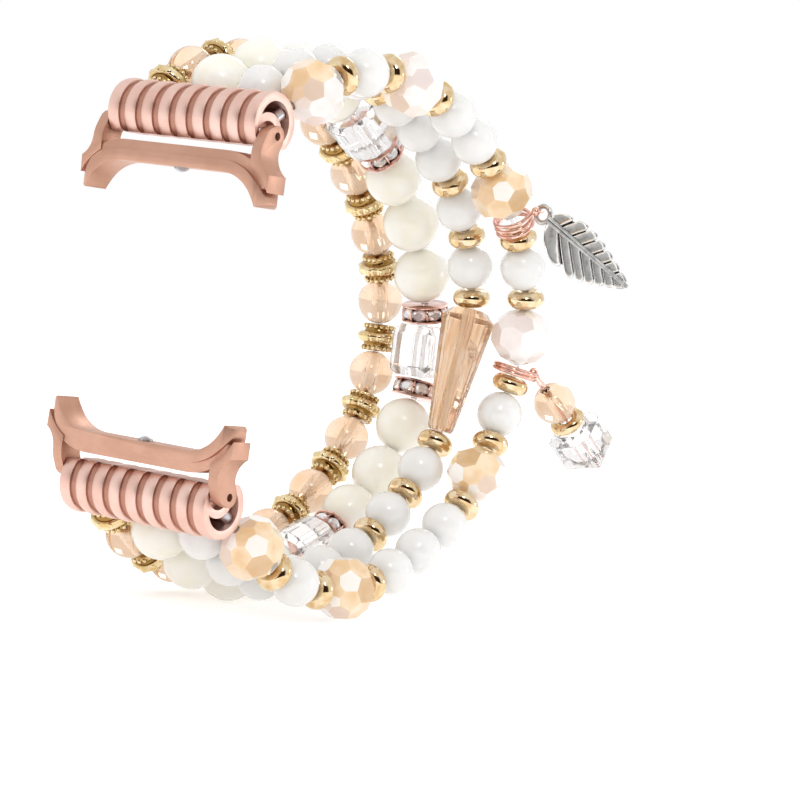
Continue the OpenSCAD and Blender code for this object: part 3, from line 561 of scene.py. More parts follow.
def measured(mesh):
    """The mesh with each point's place on the bead, which the streaks of its cut follow."""
    own = mesh.attributes.new("own", "FLOAT_VECTOR", "POINT")
    for vert, row in zip(mesh.vertices, own.data):
        row.vector = vert.co
    return mesh


def add_piece(name, mesh, body, material, slot, *stands_for):
    """Puts a finished mesh in the scene as a piece on a body, in place of some CAD nodes."""
    piece = loose(mesh, name)
    mesh.name = name
    mesh.materials.clear()
    mesh.materials.append(material)
    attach(piece, body)
    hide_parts(*stands_for)


def cad_shape(node):
    """A CAD node's shape, its faces joined at their shared points."""
    shape = bmesh.new()
    shape.from_mesh(NODES[node].data)
    bmesh.ops.remove_doubles(shape, verts=shape.verts, dist=0.001 * MM)
    return shape


def volumes(corners):
    """The signed volume between the origin and each triangle."""
    return np.einsum("ij,ij->i", corners[:, 0], np.cross(corners[:, 1], corners[:, 2])) / 6


def middle_and_bore(corners):
    """A solid's middle, and the axis about which its mass is laid out alike."""
    box_middle = (corners.max((0, 1)) + corners.min((0, 1))) / 2
    c = corners - box_middle
    volume = volumes(c)
    middle = box_middle + (c.sum(1) / 4 * volume[:, None]).sum(0) / volume.sum()
    c = corners - middle
    volume = volumes(c)
    total = c.sum(1)
    moments = sum(np.einsum("i,ij,ik->jk", volume, c[:, k], c[:, k]) for k in range(3))
    moments = (moments + np.einsum("i,ij,ik->jk", volume, total, total)) / 20
    values, axes = np.linalg.eigh(moments)
    odd = int(np.argmax(np.abs(values - np.median(values))))
    return Vector(middle), Vector(axes[:, odd])


def solids_of(node):
    """The middle and the bore's direction of each solid in a CAD node, in metres."""
    shape = cad_shape(node)
    bmesh.ops.triangulate(shape, faces=shape.faces)
    shape.verts.index_update()
    seen = set()
    found = []
    for start in shape.verts:
        if start.index in seen:
            continue
        seen.add(start.index)
        waiting, faces = [start], set()
        while waiting:
            vert = waiting.pop()
            faces.update(vert.link_faces)
            for edge in vert.link_edges:
                other = edge.other_vert(vert)
                if other.index not in seen:
                    seen.add(other.index)
                    waiting.append(other)
        corners = np.array([[tuple(v.co) for v in face.verts] for face in faces])
        found.append(middle_and_bore(corners))
    shape.free()
    return found


# Geometry nodes

def new_tree(name, sockets):
    """A geometry tree. Gives it and its inputs, among them the model to copy and its material."""
    tree = bpy.data.node_groups.new(name, "GeometryNodeTree")
    sockets = {"Geometry": "NodeSocketGeometry", "Model": "NodeSocketObject",
               "Finish": "NodeSocketMaterial", **sockets}
    for label, kind in sockets.items():
        tree.interface.new_socket(label, in_out="INPUT", socket_type=kind)
    tree.interface.new_socket("Geometry", in_out="OUTPUT", socket_type="NodeSocketGeometry")
    return tree, put(tree, "NodeGroupInput").outputs


def end_tree(tree, copies, given):
    """Ends a tree: its copies are made real and get their material."""
    real = feed(tree, "GeometryNodeRealizeInstances", {"Geometry": copies})
    done = feed(tree, "GeometryNodeSetMaterial", {"Geometry": real, "Material": given["Finish"]})
    put(tree, "NodeGroupOutput", {0: done})
    return tree


def run_tree(tree, mesh, model, values):
    """Runs a tree on a mesh with its inputs by name, and gives the result as a plain mesh."""
    values["Model"] = loose(model)
    piece = loose(mesh)
    modifier = piece.modifiers.new(tree.name, "NODES")
    modifier.node_group = tree
    for item in tree.interface.items_tree:
        if item.name in values:
            modifier[item.identifier] = values[item.name]
    made = settled(piece)
    bpy.data.objects.remove(values["Model"])
    return made


def strung_tree():
    """Beads on their cords: one bead at each point, its Z along the point's bore."""
    tree, given = new_tree("strung_on_cord", {
        "Turn seed": "NodeSocketInt", "Size play": "NodeSocketFloat"
    })

    def draw(low, high):
        sockets = {2: low, 3: high, 8: given["Turn seed"]}
        return put(tree, "FunctionNodeRandomValue", sockets).outputs[1]

    bore = feed(tree, "GeometryNodeInputNamedAttribute", {"Name": "bore"},
                data_type="FLOAT_VECTOR")
    facing = feed(tree, "FunctionNodeAlignRotationToVector", {"Vector": bore}, axis="Z")
    own_turn = feed(tree, "FunctionNodeAxisAngleToRotation", {
        "Axis": (0, 0, 1), "Angle": draw(0.0, 2 * pi)
    })
    facing = feed(tree, "FunctionNodeRotateRotation", {0: facing, 1: own_turn},
                  rotation_space="LOCAL")
    size = draw(reckon(tree, "SUBTRACT", 1.0, given["Size play"]), 1.0)
    bead = put(tree, "GeometryNodeObjectInfo", {"Object": given["Model"]}).outputs["Geometry"]
    copies = feed(tree, "GeometryNodeInstanceOnPoints", {
        "Points": given["Geometry"], "Instance": bead, "Rotation": facing, "Scale": size
    })
    return end_tree(tree, copies, given)


def wreath_tree():
    """Copies of a model in a circle round Z, each with its X outwards, added to what is there."""
    tree, given = new_tree("wreath_round_bore", {
        "Count": "NodeSocketInt", "Circle radius": "NodeSocketFloat",
        "Height": "NodeSocketFloat", "Part turn": "NodeSocketFloat"
    })
    ring = feed(tree, "GeometryNodeMeshCircle", {
        "Vertices": given["Count"], "Radius": given["Circle radius"]
    })
    place = feed(tree, "GeometryNodeInputPosition")
    outwards = feed(tree, "FunctionNodeAlignRotationToVector", {"Vector": place}, axis="X")
    item = put(tree, "GeometryNodeObjectInfo", {"Object": given["Model"]}).outputs["Geometry"]
    copies = feed(tree, "GeometryNodeInstanceOnPoints", {
        "Points": ring, "Instance": item, "Rotation": outwards
    })
    moved = feed(tree, "GeometryNodeTransform", {
        "Geometry": copies,
        "Translation": feed(tree, "ShaderNodeCombineXYZ", {"Z": given["Height"]}),
        "Rotation": feed(tree, "ShaderNodeCombineXYZ", {"Z": given["Part turn"]})
    })
    both = put(tree, "GeometryNodeJoinGeometry", {"Geometry": given["Geometry"]})
    tree.links.new(moved, both.inputs[0])
    return end_tree(tree, both.outputs[0], given)


STRUNG = strung_tree()
WREATH = wreath_tree()


def strung(nodes, bead, seed, play, material):
    """A bead at every solid of some CAD nodes, as one mesh."""
    solids = [solid for node in nodes for solid in solids_of(node)]
    points = bpy.data.meshes.new("places")
    points.from_pydata([middle for middle, along in solids], [], [])
    bores = points.attributes.new("bore", "FLOAT_VECTOR", "POINT")
    for row, (middle, along) in zip(bores.data, solids):
        row.vector = along
    return run_tree(STRUNG, points, bead, {
        "Turn seed": seed, "Size play": play, "Finish": material
    })


def wreath(base, item, count, radius, height, angle, material):
    """Items in a circle round a base mesh, sizes in millimetres and degrees."""
    return run_tree(WREATH, base, item, {
        "Count": count, "Circle radius": radius * MM, "Height": height * MM,
        "Part turn": radians(angle), "Finish": material
    })


# Beads

def round_bead(diameter, bore=BORE_R):
    """A drilled ball, its bore's lips rounded."""
    r, lip = diameter / 2, 0.12
    top = acos((bore + lip) / r)
    arc = [around(r, a)[:2] for a in np.linspace(top, -top, 18)]
    end = r * sin(top)
    return turned(arc + [(bore, -end + lip), (bore, end - lip)], sides=40, sharp_above=50)


def ring_bead(diameter, length, bore=BORE_R):
    """A fat smooth ring: a round section cut off by its bore."""
    r = length / 2
    middle = diameter / 2 - r
    cut = acos(max(-1, (bore - middle) / r))
    arc = [(middle + r * cos(a), r * sin(a)) for a in np.linspace(cut, -cut, 22)]
    return turned(arc, sides=40, sharp_above=70)


def granulated_spacer():
    """A cast spacer: a fat lobed rim between two collars that end in rows of granules."""
    rim, collar, half = DAISY_RIM_D / 2, DAISY_COLLAR_D / 2, DAISY_L / 2
    neck, belly_h, belly_r = collar - 0.3, 0.72, 0.5
    belly = [(rim - 0.62 + belly_r * cos(a), belly_h * sin(a))
             for a in np.linspace(-1.9, 1.9, 13)]
    outline = [(BORE_R, -half), (collar - 0.6, -half), (neck, -half + 0.2), (neck, -0.95)]
    outline += belly + [(r, -h) for r, h in reversed(outline)]
    shape = turned(outline, sides=40, sharp_above=50)
    # Each row of granules: their radius and number, and where they lie
    rows = [(0.66, 10, rim - 0.6, 0)]
    rows += [(0.32, 16, collar - 0.28, side * (half - 0.34)) for side in (-1, 1)]
    for radius, count, out, height in rows:
        granule = ball(radius, segments=8, rings=5, squash=1.1)
        shape = wreath(shape, granule, count, out, height, 0, GOLD_GRAINS)

    # Points that lie under this outer radius, in the crevices, are darkened by painted shade
    def outer_at(h):
        return rim - 0.12 - 0.35 * max(0, h - 0.3) if h < 1.0 else collar - 0.12

    return hollowed(shape, outer_at, 0.5)


LUSTRE_SIDE = Vector((0.4, 0.9, 0.0)).normalized()


def faceted_bead():
    """A fire-polished bead: rows of eight facets, offset row to row, a lustre on one side."""
    planes = [((0, 0, 1), FACETED_L / 2), ((0, 0, -1), FACETED_L / 2)]
    # Each row's rise in degrees, its distance as a share of the radius and its offset in degrees
    rows = [(0, 0.94, 0), (39, 0.945, 22.5), (-39, 0.945, 22.5), (66, 0.945, 0), (-66, 0.945, 0)]
    for rise, share, offset in rows:
        e = radians(rise)
        planes += [
            (around(cos(e), radians(45 * k + offset), sin(e)), share * FACETED_D / 2)
            for k in range(8)
        ]
    gem = drilled(cut_gem(planes, FACETED_D), 0.55, 2 * FACETED_L)
    lustre = gem.attributes.new("lustre", "FLOAT", "FACE")
    shares = gem.attributes.new("facet", "FLOAT", "FACE")
    # Each facet's share, drawn at random, picks a painted darker reflection or a painted highlight
    draw = random.Random(21)
    for face, row, share in zip(gem.polygons, lustre.data, shares.data):
        row.value = clamp((face.normal.dot(LUSTRE_SIDE) + 0.3) / 0.6)
        share.value = draw.choice((0.1, 0.3, 0.5, 0.55, 0.6, 0.65, 0.7, 1.0))
    return gem


def long_cone():
    """The long cone of eight facets, its wide end with a bevelled crown."""
    half, sides = CONE_L / 2, 8
    rows = [(2.4, -half), (3.6, 1.1 - half), (3.1, -half / 3), (1.8, half - 0.5), (1.45, half)]
    points = [(0, 0, -half)]
    points += [around(r, 2 * pi * k / sides, h) for r, h in rows for k in range(sides)]
    points.append((0, 0, half))
    faces = []
    for i in range(len(rows) - 1):
        for k in range(sides):
            a, b = 1 + i * sides + k, 1 + i * sides + (k + 1) % sides
            faces.append((a, b, b + sides, a + sides))
    last = len(points) - 1 - sides
    for k in range(sides):
        after = (k + 1) % sides
        faces += [(0, 1 + after, 1 + k), (len(points) - 1, last + k, last + after)]
    cone = drilled(mesh_of(points, faces, smooth=False), BORE_R, 2 * CONE_L, edge=0.06)
    return measured(walled(cone, BORE_R))


def crystal_block(width, bore):
    """A crystal cube with its edges cut off flat."""
    half = width / 2
    edge_at = CUBE_CUT * half * sqrt(2)
    planes = []
    for s in (-1, 1):
        planes += [((s, 0, 0), half), ((0, s, 0), half), ((0, 0, s), half)]
        for t in (-1, 1):
            planes += [((s, t, 0), edge_at), ((s, 0, t), edge_at), ((0, s, t), edge_at)]
    return measured(drilled(cut_gem(planes, 2 * width), bore, 3 * width, edge=0.07))


def crystal_prism():
    """The prism with ten wide flats, ten narrow ones between them, and its ends bevelled."""
    half, slope, crown = PRISM_L / 2, 0.9, 0.75
    across = PRISM_D / 2 * cos(pi / 10)
    bevel_at = (across + slope * (half - crown)) / hypot(1, slope)
    planes = [((0, 0, 1), half), ((0, 0, -1), half)]
    for k in range(10):
        wide, narrow = pi * (2 * k + 1) / 10, pi * 2 * k / 10
        planes += [(around(1, wide), across), (around(1, narrow), across * 1.022)]
        planes += [(around(1, wide, s * slope), bevel_at) for s in (-1, 1)]
    return measured(drilled(cut_gem(planes, 2 * PRISM_D), BORE_R, 3 * PRISM_L, edge=0.05))


def setting_ring():
    """The metal of a rhinestone ring: a core, two beaded rims and prongs between the stones."""
    half, rim, core = STONE_RING_L / 2, STONE_RING_D / 2, STONE_CORE_D / 2
    shelf = -half + 0.28
    outline = [(BORE_R, -half), (rim - 0.2, -half), (rim, -half + 0.08), (rim, -half + 0.2),
               (rim - 0.12, shelf), (core, shelf)]
    outline += [(r, -h) for r, h in reversed(outline)]
    prong = tube([(-0.35, 0, -0.8), (0.1, 0, -0.6), (0.12, 0, 0), (0.1, 0, 0.6),
                  (-0.35, 0, 0.8)], 0.16, sides=6)
    ring = turned(outline, sides=48, sharp_above=35)
    ring = wreath(ring, prong, 8, rim - 0.3, 0, 22.5, ROSE_RIMS)
    # Points under the rims, the core and the prongs' feet, are darkened by painted shade
    return hollowed(ring, lambda h: rim - 0.1 if h < half - 0.05 else 0, 0.3)


def brilliant(seed):
    """A stone with an eight-sided table, its X outwards, and for each facet a share of painted
    reflection.
    """
    wide, tall, high, girdle_at = 1.08, 0.86, 0.84, 0.35
    angles = [pi * k / 8 for k in range(16)]

    def outline(x, share, angles):
        return [(x, share * wide * cos(a), share * tall * sin(a)) for a in angles]

    points = outline(high, 0.56, angles[1::2])
    points += outline(girdle_at, 1, angles) + outline(0.0, 0.8, angles)
    faces = [tuple(range(8)), tuple(24 + k for k in range(15, -1, -1))]
    for k in range(8):
        here, middle, after = 8 + 2 * k, 9 + 2 * k, 8 + (2 * k + 2) % 16
        faces += [(k, (k - 1) % 8, here), (k, here, middle), (k, middle, after)]
    for k in range(16):
        after = (k + 1) % 16
        faces.append((8 + k, 8 + after, 24 + after, 24 + k))
    mesh = mesh_of(points, faces, smooth=False)
    # Painted reflections: a share for each facet, drawn at random
    draw = random.Random(seed)
    for row in mesh.attributes.new("facet", "FLOAT", "FACE").data:
        row.value = draw.choice((0.2, 0.6, 0.9, 1.0, 1.0))
    return mesh


# Barrels and adapters

def softened(node, edge):
    """A copy of a CAD node with its flats made whole and its edges rounded."""
    flat = radians(0.6)
    shape = cad_shape(node)
    bmesh.ops.dissolve_limit(shape, angle_limit=flat, verts=shape.verts, edges=shape.edges)
    piece = loose(poured(shape))
    bevel(piece, edge, segments=2, angle=30)
    mesh = settled(piece)
    for face in mesh.polygons:
        face.use_smooth = True
    mesh.set_sharp_from_angle(angle=radians(40))
    return mesh


def recessed(mesh, side):
    """Marks a barrel's grooves and its hollow with how much painted shade darkens them."""
    hollow_r, skin, depth = 3.2, 0.12, 0.25

    def value_at(x, y, z):
        r = hypot(y - BARREL_Y, z - side * BARREL_Z)
        if r > hollow_r:
            return clamp((BARREL_R - skin - r) / depth) if abs(x) < BARREL_HALF else 0
        return 0.85 if abs(x) < BARREL_HALF - 0.05 else 0

    return numbered(mesh, "recess", value_at)


for side, end in ENDS:
    node = f"ribbed_barrel_{end}"
    add_piece(f"barrel_{end}", recessed(softened(node, 0.06), side), "strap", ROSE_BARREL,
              "rose_gold", node)
    node = f"lug_adapter_{end}"
    adapter = numbered(softened(node, 0.12), "recess", lambda x, y, z: 0)
    add_piece(f"adapter_{end}", adapter, f"adapter_{end}", ROSE_ADAPTER_SHADED, "rose_gold", node)


# Strands

LOOP_Y = 30


def cord_path(node):
    """The middle line of a CAD cord, in millimetres, from the upper barrel to the lower one."""
    # The points of one ring lie closer together than gap, and a point met twice counts once
    gap, same = 0.83, 1e-3
    rings = []
    for vert in NODES[node].data.vertices:
        point = vert.co / MM
        for ring in rings:
            if (ring[0] - point).length < gap:
                if all((p - point).length > same for p in ring):
                    ring.append(point)
                break
        else:
            rings.append([point])
    middles = [sum(ring, Vector()) / len(ring) for ring in rings if len(ring) > 2]
    return sorted(middles, key=lambda p: -atan2(p.z, p.y - LOOP_Y))


for letter in "abcd":
    node = f"elastic_cord_{letter}"
    add_piece(f"cord_{letter}", tube(cord_path(node), CORD_R - 0.02, 12), "strap", CORD,
              "stretch_cord", node)

MILKY_D = 6.12
AMBER_D = 6.12
CREAM_D = 7.66
AMBER_BORE_R = 0.8
# Each kind of bead: piece, CAD nodes, shape, seed, play in size, material and slot
STRUNG_BEADS = [
    ("amber_round_beads", ["amber_beads"],
     walled(round_bead(AMBER_D, AMBER_BORE_R), AMBER_BORE_R), 3, 0.0, AMBER, "amber"),
    ("cream_round_beads", ["cream_beads"], round_bead(CREAM_D), 5, 0.012, CREAM, "cream"),
    ("milky_round_beads", ["milky_beads_c", "milky_beads_d"], round_bead(MILKY_D), 7, 0.012,
     MILKY, "milky"),
    ("gold_ring_beads", ["gold_spacers_c", "gold_spacers_d"], ring_bead(GOLD_D, GOLD_L), 11, 0.0,
     GOLD_RINGS, "pale_gold"),
    ("granulated_spacers", ["daisy_spacers"], granulated_spacer(), 13, 0.0, GOLD_GRAINS,
     "pale_gold"),
]
for name, nodes, bead, seed, play, material, slot_name in STRUNG_BEADS:
    add_piece(name, strung(nodes, bead, seed, play, material), "strap", material, slot_name,
              *nodes)

# The way that each bead's coated side looks, from the upper barrel on
LUSTRE_WAYS = [
    (-0.5, -0.2, 0.8), (-0.8, -0.6, 0), (0.6, -0.8, 0), (-0.6, 0.8, 0), (-0.3, -0.8, 0.5),
    (0.5, -0.8, 0.2), (0.9, 0.2, -0.5)
]
FACETED = faceted_bead()
for i, way in enumerate(LUSTRE_WAYS, 1):
    at = joint_seat(f"faceted_{i}")
    own = at.to_3x3().transposed() @ Vector(way)
    angle = atan2(own.y, own.x) - atan2(LUSTRE_SIDE.y, LUSTRE_SIDE.x)
    add_piece(f"opal_bead_{i}", placed(FACETED, at @ turn("Z", degrees(angle))),
              f"faceted_{i}", OPAL, "cut_champagne", f"faceted_bead_{i}")

add_piece("champagne_long_cone", placed(long_cone(), joint_seat("cone") @ turn("Z", 11)), "cone",
          CHAMPAGNE, "champagne", "champagne_cone")
add_piece("crystal_block", placed(crystal_block(CUBE_W, BORE_R), joint_seat("cube")), "cube",
          CRYSTAL, "crystal", "crystal_cube")
PRISM = crystal_prism()
for end in ("upper", "lower"):
    add_piece(f"crystal_barrel_{end}", placed(PRISM, joint_seat(f"prism_{end}")), f"prism_{end}",
              CRYSTAL, "crystal", f"crystal_prism_{end}")
SETTING = setting_ring()
for i in range(1, 5):
    body = f"stone_ring_{i}"
    at = joint_seat(body) @ turn("Z", 13 * i)
    add_piece(f"stone_setting_{i}", placed(SETTING, at), body, ROSE_RIMS, "rose_gold",
              f"rhinestone_ring_{i}")
    stones = wreath(bpy.data.meshes.new("none"), brilliant(i), 8, STONE_CORE_D / 2 + 0.03, 0, 0,
                    RHINESTONE)
    add_piece(f"set_stones_{i}", placed(stones, at), body, RHINESTONE, "stone",
              f"ring_stones_{i}")


# Leaf charm

WINDING_AT = joint_seat("winding")
HOOK = Vector(JOINTS["leaf"]["pos_m"]) / MM
LEAF_RING_R, LEAF_WIRE_R, WIRE_R, BALL_R = 1.1, 0.34, 0.2, 0.6
WINDING_R, WINDING_L, WINDING_TURNS, WINDING_WIRE_R = 2.45, 2.5, 2.5, 0.26


def bezier(a, b, c, d, t):
    """A point of the curve from a to d, led by b and c."""
    u = 1 - t
    return a * u ** 3 + b * 3 * u ** 2 * t + c * 3 * u * t * t + d * t ** 3


def winding():
    """The wire round the strand, out to the leaf's hook and into its ball."""
    count, out_steps, lead_l = int(36 * WINDING_TURNS), 12, 2.8
    half = WINDING_L / 2 - WIRE_R
    path = []
    for i in range(count + 1):
        a = radians(360 * WINDING_TURNS * (1 - i / count) - 90)
        spot = Vector(around(WINDING_R, a, half * (1 - 2 * i / count)))
        path.append(WINDING_AT @ (spot * MM) / MM)
    start = path[-1]
    lead = start + (start - path[-2]).normalized() * lead_l
    over = HOOK + Vector((0, LEAF_RING_R, 0))
    path += [bezier(start, lead, over, HOOK, i / out_steps) for i in range(1, out_steps + 1)]
    ball_y = WINDING_AT.translation.y / MM - LEAF_WIRE_R - BALL_R - 0.2
    ball_at = Vector((HOOK.x, ball_y, HOOK.z))
    radii = [WINDING_WIRE_R] * count + tapered(WINDING_WIRE_R, WIRE_R, out_steps + 1) + [WIRE_R]
    return joined([
        (tube(path + [ball_at], radii, 12), Matrix()),
        (ball(BALL_R, segments=24, rings=12), shift(*ball_at)),
    ])


add_piece("rose_wire_winding", winding(), "winding", ROSE_WIRE, "rose_wire", "leaf_winding")

# The blade on each side of its midrib: the side's way, the blade's width, how far the lobes lean,
# where a lobe ends in its share, its floor's height, its rim's width, how much its tip is rounded
# and how far out the plate behind reaches
LEAF_L, LOBES, LOBED_SHARE, RIM_H = 15.8, 7, 0.93, 0.09
LEAF_SIDES = (
    {"way": 1, "width": 2.7, "lean": 0.75, "end": 0.88, "floor": 0.2, "rim": 0.3, "tip": 0.42,
     "plate": 0.74},
    {"way": -1, "width": 4.3, "lean": 1.05, "end": 0.92, "floor": 0.18, "rim": 0.32, "tip": 0.3,
     "plate": 0.82},
)


def blade_width(t):
    return sin(radians(180 * (0.01 + 0.99 * t) ** 0.64))


def smooth(x):
    x = clamp(x)
    return x * x * (3 - 2 * x)


def lean_at(x, half):
    """How far a lobe's lines lean towards the tip, for a line that leaves the midrib at x."""
    return 0.05 + half["lean"] * smooth(x / 2.5)


def reach_at(x, half):
    """How far out a leaning line goes before it meets the blade's edge."""
    out = 0.0
    for i in range(30):
        share = clamp((x + lean_at(x, half) * out) / LEAF_L)
        out = 0.5 * out + 0.5 * half["width"] * blade_width(share)
    return out


def lobe(half, number):
    """One lobe of the blade: a sunk panel inside a raised rim. Gives points, faces and relief."""
    across, along = 22, 20
    widest, inset, bowl_w, bowl_depth = 0.38, 0.16, 0.9, 0.05
    first, last = (LOBED_SHARE * (number + share) / LOBES for share in (0.03, half["end"]))
    long = (last - first) * LEAF_L
    front, relief = [], []
    for i in range(along + 1):
        q = (1 - cos(pi * i / along)) / 2
        x = (first + (last - first) * q) * LEAF_L
        round_off = 1 - (1 - (abs(q - widest) / (1 - widest)) ** 2.4) ** 0.5
        end = reach_at(x, half) * (1 - half["tip"] * round_off)
        for j in range(across + 1):
            v = j / across
            out = v * end
            d = min(q * long, (1 - q) * long, (1 - v) * end) * 0.9
            rise = smooth(1 - abs(d - 0.4 * half["rim"]) / (0.6 * half["rim"]))
            bowl = smooth(d / bowl_w)
            front.append((x + lean_at(x, half) * out * (0.85 + 0.15 * v),
                          half["way"] * (inset + out),
                          half["floor"] + RIM_H * rise - bowl_depth * bowl))
            relief.append(0.6 - 0.24 * bowl + 0.5 * rise)
    size = across + 1
    # The back thins from the midrib out to the edge
    back = [-0.32 + 0.3 * (j / across) ** 2 for i in range(along + 1) for j in range(size)]
    points = front + [(x, y, low) for (x, y, z), low in zip(front, back)]
    behind = len(front)
    faces = []
    for i in range(along):
        for j in range(across):
            square = [i * size + j + step for step in (0, 1, size + 1, size)]
            faces += [square, [behind + square[k] for k in (0, 3, 2, 1)]]
    border = list(range(size)) + [i * size + across for i in range(1, along + 1)]
    border += [along * size + j for j in range(across - 1, -1, -1)]
    border += [i * size for i in range(along - 1, 0, -1)]
    faces += [(a, b, behind + b, behind + a) for a, b in zip(border, border[1:] + border[:1])]
    return points, faces, relief + [0.55] * behind


def plate():
    """The thin plate behind the lobes, dark in front between them."""
    steps, share = 40, 0.86
    points = []
    for height in (0.02, -0.28):
        for i in range(steps + 1):
            x = share * LEAF_L * i / steps
            for half in LEAF_SIDES:
                out = reach_at(x, half) * half["plate"]
                points.append((x + lean_at(x, half) * out * 0.95, half["way"] * out, height))
    count = len(points) // 2
    faces = []
    for a in range(0, 2 * steps, 2):
        b = count + a
        faces += [(a, a + 1, a + 3, a + 2), (b, b + 2, b + 3, b + 1), (a, a + 2, b + 2, b),
                  (a + 1, b + 1, b + 3, a + 3)]
    faces += [(0, count, count + 1, 1), (count - 2, count - 1, 2 * count - 1, 2 * count - 2)]
    return points, faces, [0.0] * count + [0.5] * count


def leaf_blade():
    """The leaf, flat in X and Y, with its front towards +Z."""
    points, faces, relief = [], [], []
    parts = [lobe(half, number) for number in range(LOBES) for half in LEAF_SIDES] + [plate()]
    for part_points, part_faces, part_relief in parts:
        start = len(points)
        points += part_points
        faces += [tuple(start + k for k in face) for face in part_faces]
        relief += part_relief
    mesh = mesh_of(points, faces, sharp_above=48)
    shades = {tuple(round(c, 3) for c in p): value for p, value in zip(points, relief)}
    return numbered(mesh, "relief", lambda *p: shades.get(tuple(round(c, 3) for c in p), 0.4))


def rubbed(mesh, value, behind=None):
    """The mesh with one relief at all its points, or with another at those behind Z = 0."""
    return numbered(mesh, "relief",
                    lambda x, y, z: value if behind is None or z > 0 else behind)


def leaf():
    root = LEAF_RING_R + LEAF_WIRE_R / 2
    ring = tube(circle(LEAF_RING_R, 0, 40), LEAF_WIRE_R, 14, closed=True)
    parts = [(leaf_blade(), shift(root, 0, 0)), (rubbed(ring, 0.72), Matrix())]
    for y in (-0.28, 0.28):
        rib = [(root - 0.1 + (LEAF_L - 0.5) * s, y * (1 - 0.65 * s), 0.3 - 0.1 * s)
               for s in np.linspace(0, 1, 24)]
        parts.append((rubbed(tube(rib, tapered(0.26, 0.16, 24), 10), 0.66), Matrix()))
    spine = [(root + (LEAF_L - 1.2) * s, 0, -0.08) for s in np.linspace(0, 1, 12)]
    parts.append((rubbed(tube(spine, tapered(0.46, 0.2, 12), 10), 0.1, 0.7), Matrix()))
    return joined(parts)


RING_SHIFT = LEAF_RING_R - LEAF_WIRE_R - WIRE_R - 0.05
LEAF_SLOPE = 29
LEAF_AT = shift(*HOOK) @ turn("Y", LEAF_SLOPE) @ shift(RING_SHIFT, 0, 0) @ turn("X", 90)
add_piece("pewter_leaf", placed(leaf(), LEAF_AT), "leaf", PEWTER, "antique_silver", "leaf_charm")


# Crystal charm

RING_AT = joint_seat("ring")
EYE_C = Vector(JOINTS["headpin"]["pos_m"]) / MM
EYE_TURN, HANG_TILT = 78, 52
RING_R, RING_WIRE_R, EYE_R, EYE_WIRE_R = 2.8, 0.32, 0.55, 0.22
PIN_LOOP_L, PIN_LOOP_R, PIN_WIRE_R = 2.0, 0.5, 0.2
PIN_GAP = 0.05
EYE_AT = shift(*EYE_C) @ turn("Z", EYE_TURN)
HANG_AT = EYE_AT @ turn("Y", -HANG_TILT)
BEAD_TOP = EYE_R + PIN_LOOP_L + PIN_LOOP_R + PIN_WIRE_R + PIN_GAP
HEAD_TOP = BEAD_TOP + CHARM_BEAD_D + CHARM_SPACER_L + CHARM_CUBE_W + 3 * PIN_GAP
CHARM_BEAD_BORE_R, CHARM_SPACER_BORE_R, CHARM_CUBE_BORE_R = 0.6, 0.32, 0.3


def charm_ring():
    """The ring's two turns round the strand, and its eye."""
    turns = [(tube(circle(RING_R, height, 48), RING_WIRE_R, 14, closed=True), RING_AT)
             for height in (-0.25, 0.25)]
    eye = tube(circle(EYE_R, 0, 24), EYE_WIRE_R, 12, closed=True)
    return joined(turns + [(eye, EYE_AT @ turn("X", 90))])


def head_pin():
    """The pin: a long closed loop through the eye, its shaft and its flat head."""
    low = -EYE_R - PIN_LOOP_L
    loop = [
        (0, PIN_LOOP_R * cos(a), middle + PIN_LOOP_R * sin(a))
        for middle, start, end in ((-EYE_R, pi, 0), (low, 0, -pi))
        for a in np.linspace(start, end, 14)
    ]
    wire = tube(loop, PIN_WIRE_R, 12, closed=True)
    shaft = tube([(0, 0, low - PIN_LOOP_R), (0, 0, -HEAD_TOP - 0.2)], PIN_WIRE_R, 12)
    head = turned([(0.001, -0.35), (0.3, -0.35), (0.46, -0.25), (0.5, -0.12), (0.46, 0),
                   (0.001, 0)], sides=24, sharp_above=50)
    return joined([(wire, HANG_AT), (shaft, HANG_AT), (head, HANG_AT @ shift(0, 0, -HEAD_TOP))])


add_piece("rose_wire_ring", charm_ring(), "ring", ROSE_WIRE, "rose_wire", "charm_ring")
add_piece("rose_head_pin", head_pin(), "headpin", ROSE_WIRE, "rose_wire", "charm_headpin")

# The beads on the pin, from its loop down: piece, shape, length, turn, body, material, slot, node
PIN_BEADS = [
    ("charm_round_bead", walled(round_bead(CHARM_BEAD_D, CHARM_BEAD_BORE_R), CHARM_BEAD_BORE_R),
     CHARM_BEAD_D, 0, "charm_bead", AMBER, "amber", "charm_amber_bead"),
    ("charm_ring_bead", ring_bead(GOLD_D, CHARM_SPACER_L, CHARM_SPACER_BORE_R),
     CHARM_SPACER_L, 0, "charm_spacer", GOLD_RINGS, "pale_gold", "charm_gold_spacer"),
    ("charm_crystal_block", crystal_block(CHARM_CUBE_W, CHARM_CUBE_BORE_R),
     CHARM_CUBE_W, 15, "charm_cube", CRYSTAL, "crystal", "charm_crystal_cube"),
]
top = BEAD_TOP
for name, mesh, length, angle, *rest in PIN_BEADS:
    at = HANG_AT @ shift(0, 0, -(top + length / 2)) @ turn("Z", angle)
    add_piece(name, placed(mesh, at), *rest)
    top += length + PIN_GAP


# Catch springs

CATCH_Y = 7.3
COIL_R, COIL_WIRE_R, COIL_TURNS, COIL_ENDS = 0.72, 0.13, 5, (18.66, 17.44)


def coil(low, high):
    """A catch's coil spring round Z from low to high, in millimetres."""
    around_steps = 20
    count = COIL_TURNS * around_steps
    return tube([around(COIL_R, 2 * pi * i / around_steps, low + (high - low) * i / count)
                 for i in range(count + 1)], COIL_WIRE_R, 8)


